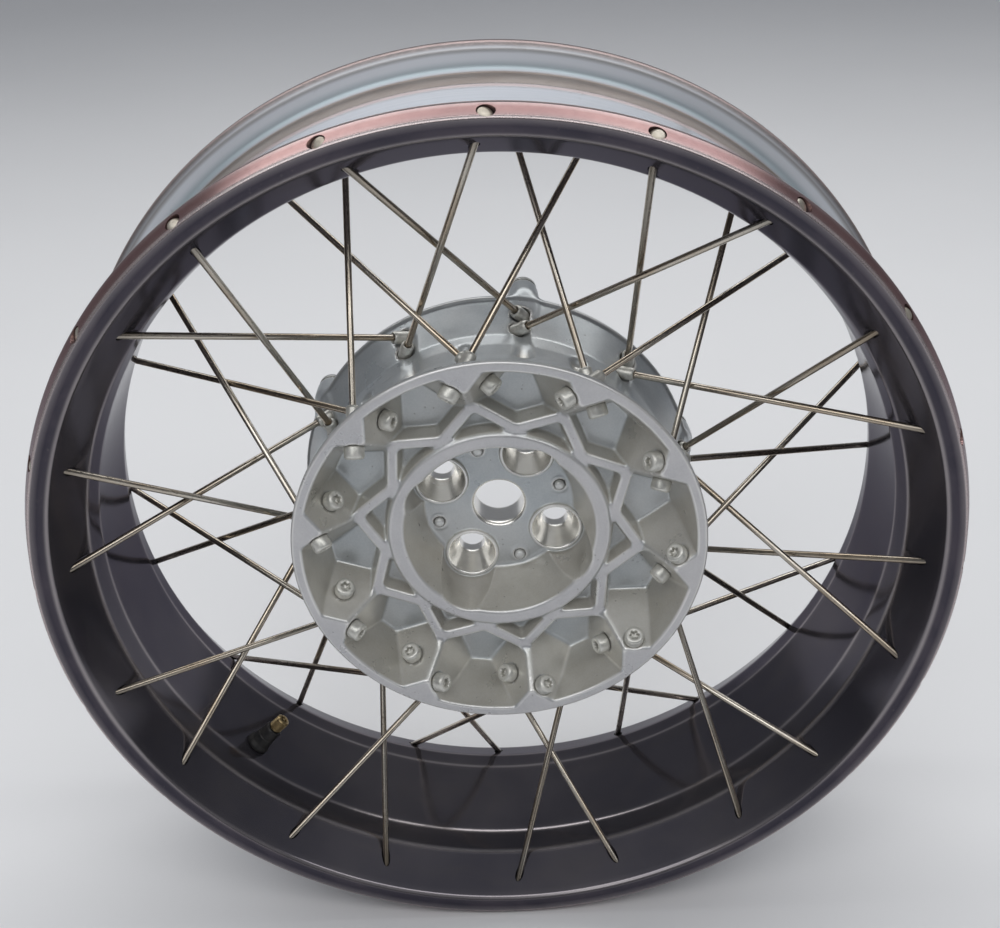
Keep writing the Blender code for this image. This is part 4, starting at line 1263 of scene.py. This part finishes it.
# ------------------------------------------------------------------ stage, light, camera (metres)
def build_stage():
    """One sweep: a flat floor that curves up far behind the wheel, at +Y."""
    floor_z = CAD_BOX[0].z
    half_width, near_y, bend_y, bend_r, top_z = 7.0, -6.0, 2.6, 1.6, 5.0
    section = [(near_y, 0.0), (bend_y, 0.0)]
    for i in range(1, 17):
        t = i / 16 * math.pi / 2
        section.append((bend_y + bend_r * math.sin(t), bend_r - bend_r * math.cos(t)))
    section.append((bend_y + bend_r, top_z))
    bm = bmesh.new()
    rows = []
    for y, z in section:
        rows.append([bm.verts.new((x, y, floor_z + z)) for x in (-half_width, half_width)])
    for a, b in zip(rows[:-1], rows[1:]):
        bm.faces.new((a[0], a[1], b[1], b[0]))
    mesh = bpy.data.meshes.new("floor_sweep")
    bm.to_mesh(mesh)
    bm.free()
    mesh.shade_smooth()
    ob = linked("floor_sweep", mesh)
    mat = Nodes("floor_paper")
    co = mat.coord()
    cloud = mat.noise(co, scale=3.0, rough=0.5)
    grain = mat.noise(co, scale=600.0, detail=2.0, rough=0.5)
    mat.out(color=mat.mix(cloud, under=(0.74, 0.745, 0.76), over=(0.78, 0.785, 0.80)),
            rough=0.9, spec=0.2, normal=mat.bump(grain, strength=0.04, distance=0.0002))
    mesh.materials.append(mat.mat)


def area(name, location, target, size, energy, colour):
    data = bpy.data.lights.new(name, "AREA")
    data.shape = "RECTANGLE"
    data.size, data.size_y = size
    data.energy = energy
    data.color = colour
    ob = linked(name, data)
    ob.location = location
    ob.rotation_mode = "QUATERNION"
    aim = Vector(target) - Vector(location)
    ob.rotation_quaternion = aim.to_track_quat("-Z", "Y")


def build_world():
    """A soft room: bright overhead, dim at the horizon."""
    world = bpy.data.worlds.new("studio")
    bpy.context.scene.world = world
    world.use_nodes = True
    tree = world.node_tree
    background = tree.nodes["Background"]
    coord = tree.nodes.new("ShaderNodeTexCoord")
    split = tree.nodes.new("ShaderNodeSeparateXYZ")
    ramp = tree.nodes.new("ShaderNodeValToRGB")
    horizon, overhead = ramp.color_ramp.elements
    horizon.position, horizon.color = 0.0, (0.10, 0.105, 0.12, 1)
    overhead.position, overhead.color = 0.85, (0.62, 0.64, 0.68, 1)
    tree.links.new(coord.outputs["Generated"], split.inputs[0])
    tree.links.new(split.outputs["Z"], ramp.inputs[0])
    tree.links.new(ramp.outputs[0], background.inputs["Color"])
    background.inputs["Strength"].default_value = 0.56


def build_lights():
    # three long soft boxes in a fan over the wheel draw the lines along the rim's ridges;
    # the angle rises from -Y
    x, distance = 0.06, 1.9
    for name, degrees, energy in (
        ("box_rear", 127.0, 16.5), ("box_top", 94.0, 15.0), ("box_front", 52.0, 14.0),
    ):
        t = degrees * DEG
        area(name, location=(x, -distance * math.cos(t), distance * math.sin(t)),
             target=(x, 0, 0), size=(3.4, 0.52), energy=energy, colour=(1.0, 0.995, 0.98))
    area("front_fill", location=(-0.75, -1.8, 1.1), target=(0, 0, -0.05), size=(1.1, 0.8),
         energy=3, colour=(0.98, 0.99, 1.0))


def build_camera():
    """Looks along +Y and down; the wheel's centre is placed in the view's own axes."""
    elevation, roll, spin = 30.584139755 * DEG, -2.442317028 * DEG, -0.912 * DEG
    centre_in_view = Vector((-9.049, 3.818, 748.304))  # right, down, ahead, in millimetres
    sin, cos = math.sin(elevation), math.cos(elevation)
    tilted = Matrix(((1, 0, 0), (0, -sin, -cos), (0, cos, -sin)))
    sin, cos = math.sin(roll), math.cos(roll)
    rolled = Matrix(((cos, -sin, 0), (sin, cos, 0), (0, 0, 1)))
    sin, cos = math.sin(spin), math.cos(spin)
    spun = Matrix(((cos, 0, -sin), (0, 1, 0), (sin, 0, cos)))
    view = rolled @ tilted @ spun
    location = -(view.transposed() @ centre_in_view) * MM
    right, down, ahead = view
    data = bpy.data.cameras.new("camera")
    data.sensor_width = 36.0
    data.sensor_fit = "HORIZONTAL"
    data.lens = 50.299524
    data.shift_x = -0.016107
    data.shift_y = 0.039382
    data.clip_start, data.clip_end = 0.02, 60
    ob = bpy.data.objects.new("camera", data)
    axes = Matrix((right, -down, -ahead)).transposed()
    ob.matrix_world = Matrix.Translation(location) @ axes.to_4x4()
    bpy.context.scene.collection.objects.link(ob)
    bpy.context.scene.camera = ob


build_rim()
build_hub()
build_spokes()
build_pins()
build_inserts()
build_valve()
build_stage()
build_world()
build_lights()
build_camera()
view_settings = bpy.context.scene.view_settings
view_settings.view_transform = "Standard"
view_settings.look = "None"
view_settings.exposure = 0.0

bpy.context.view_layer.update()
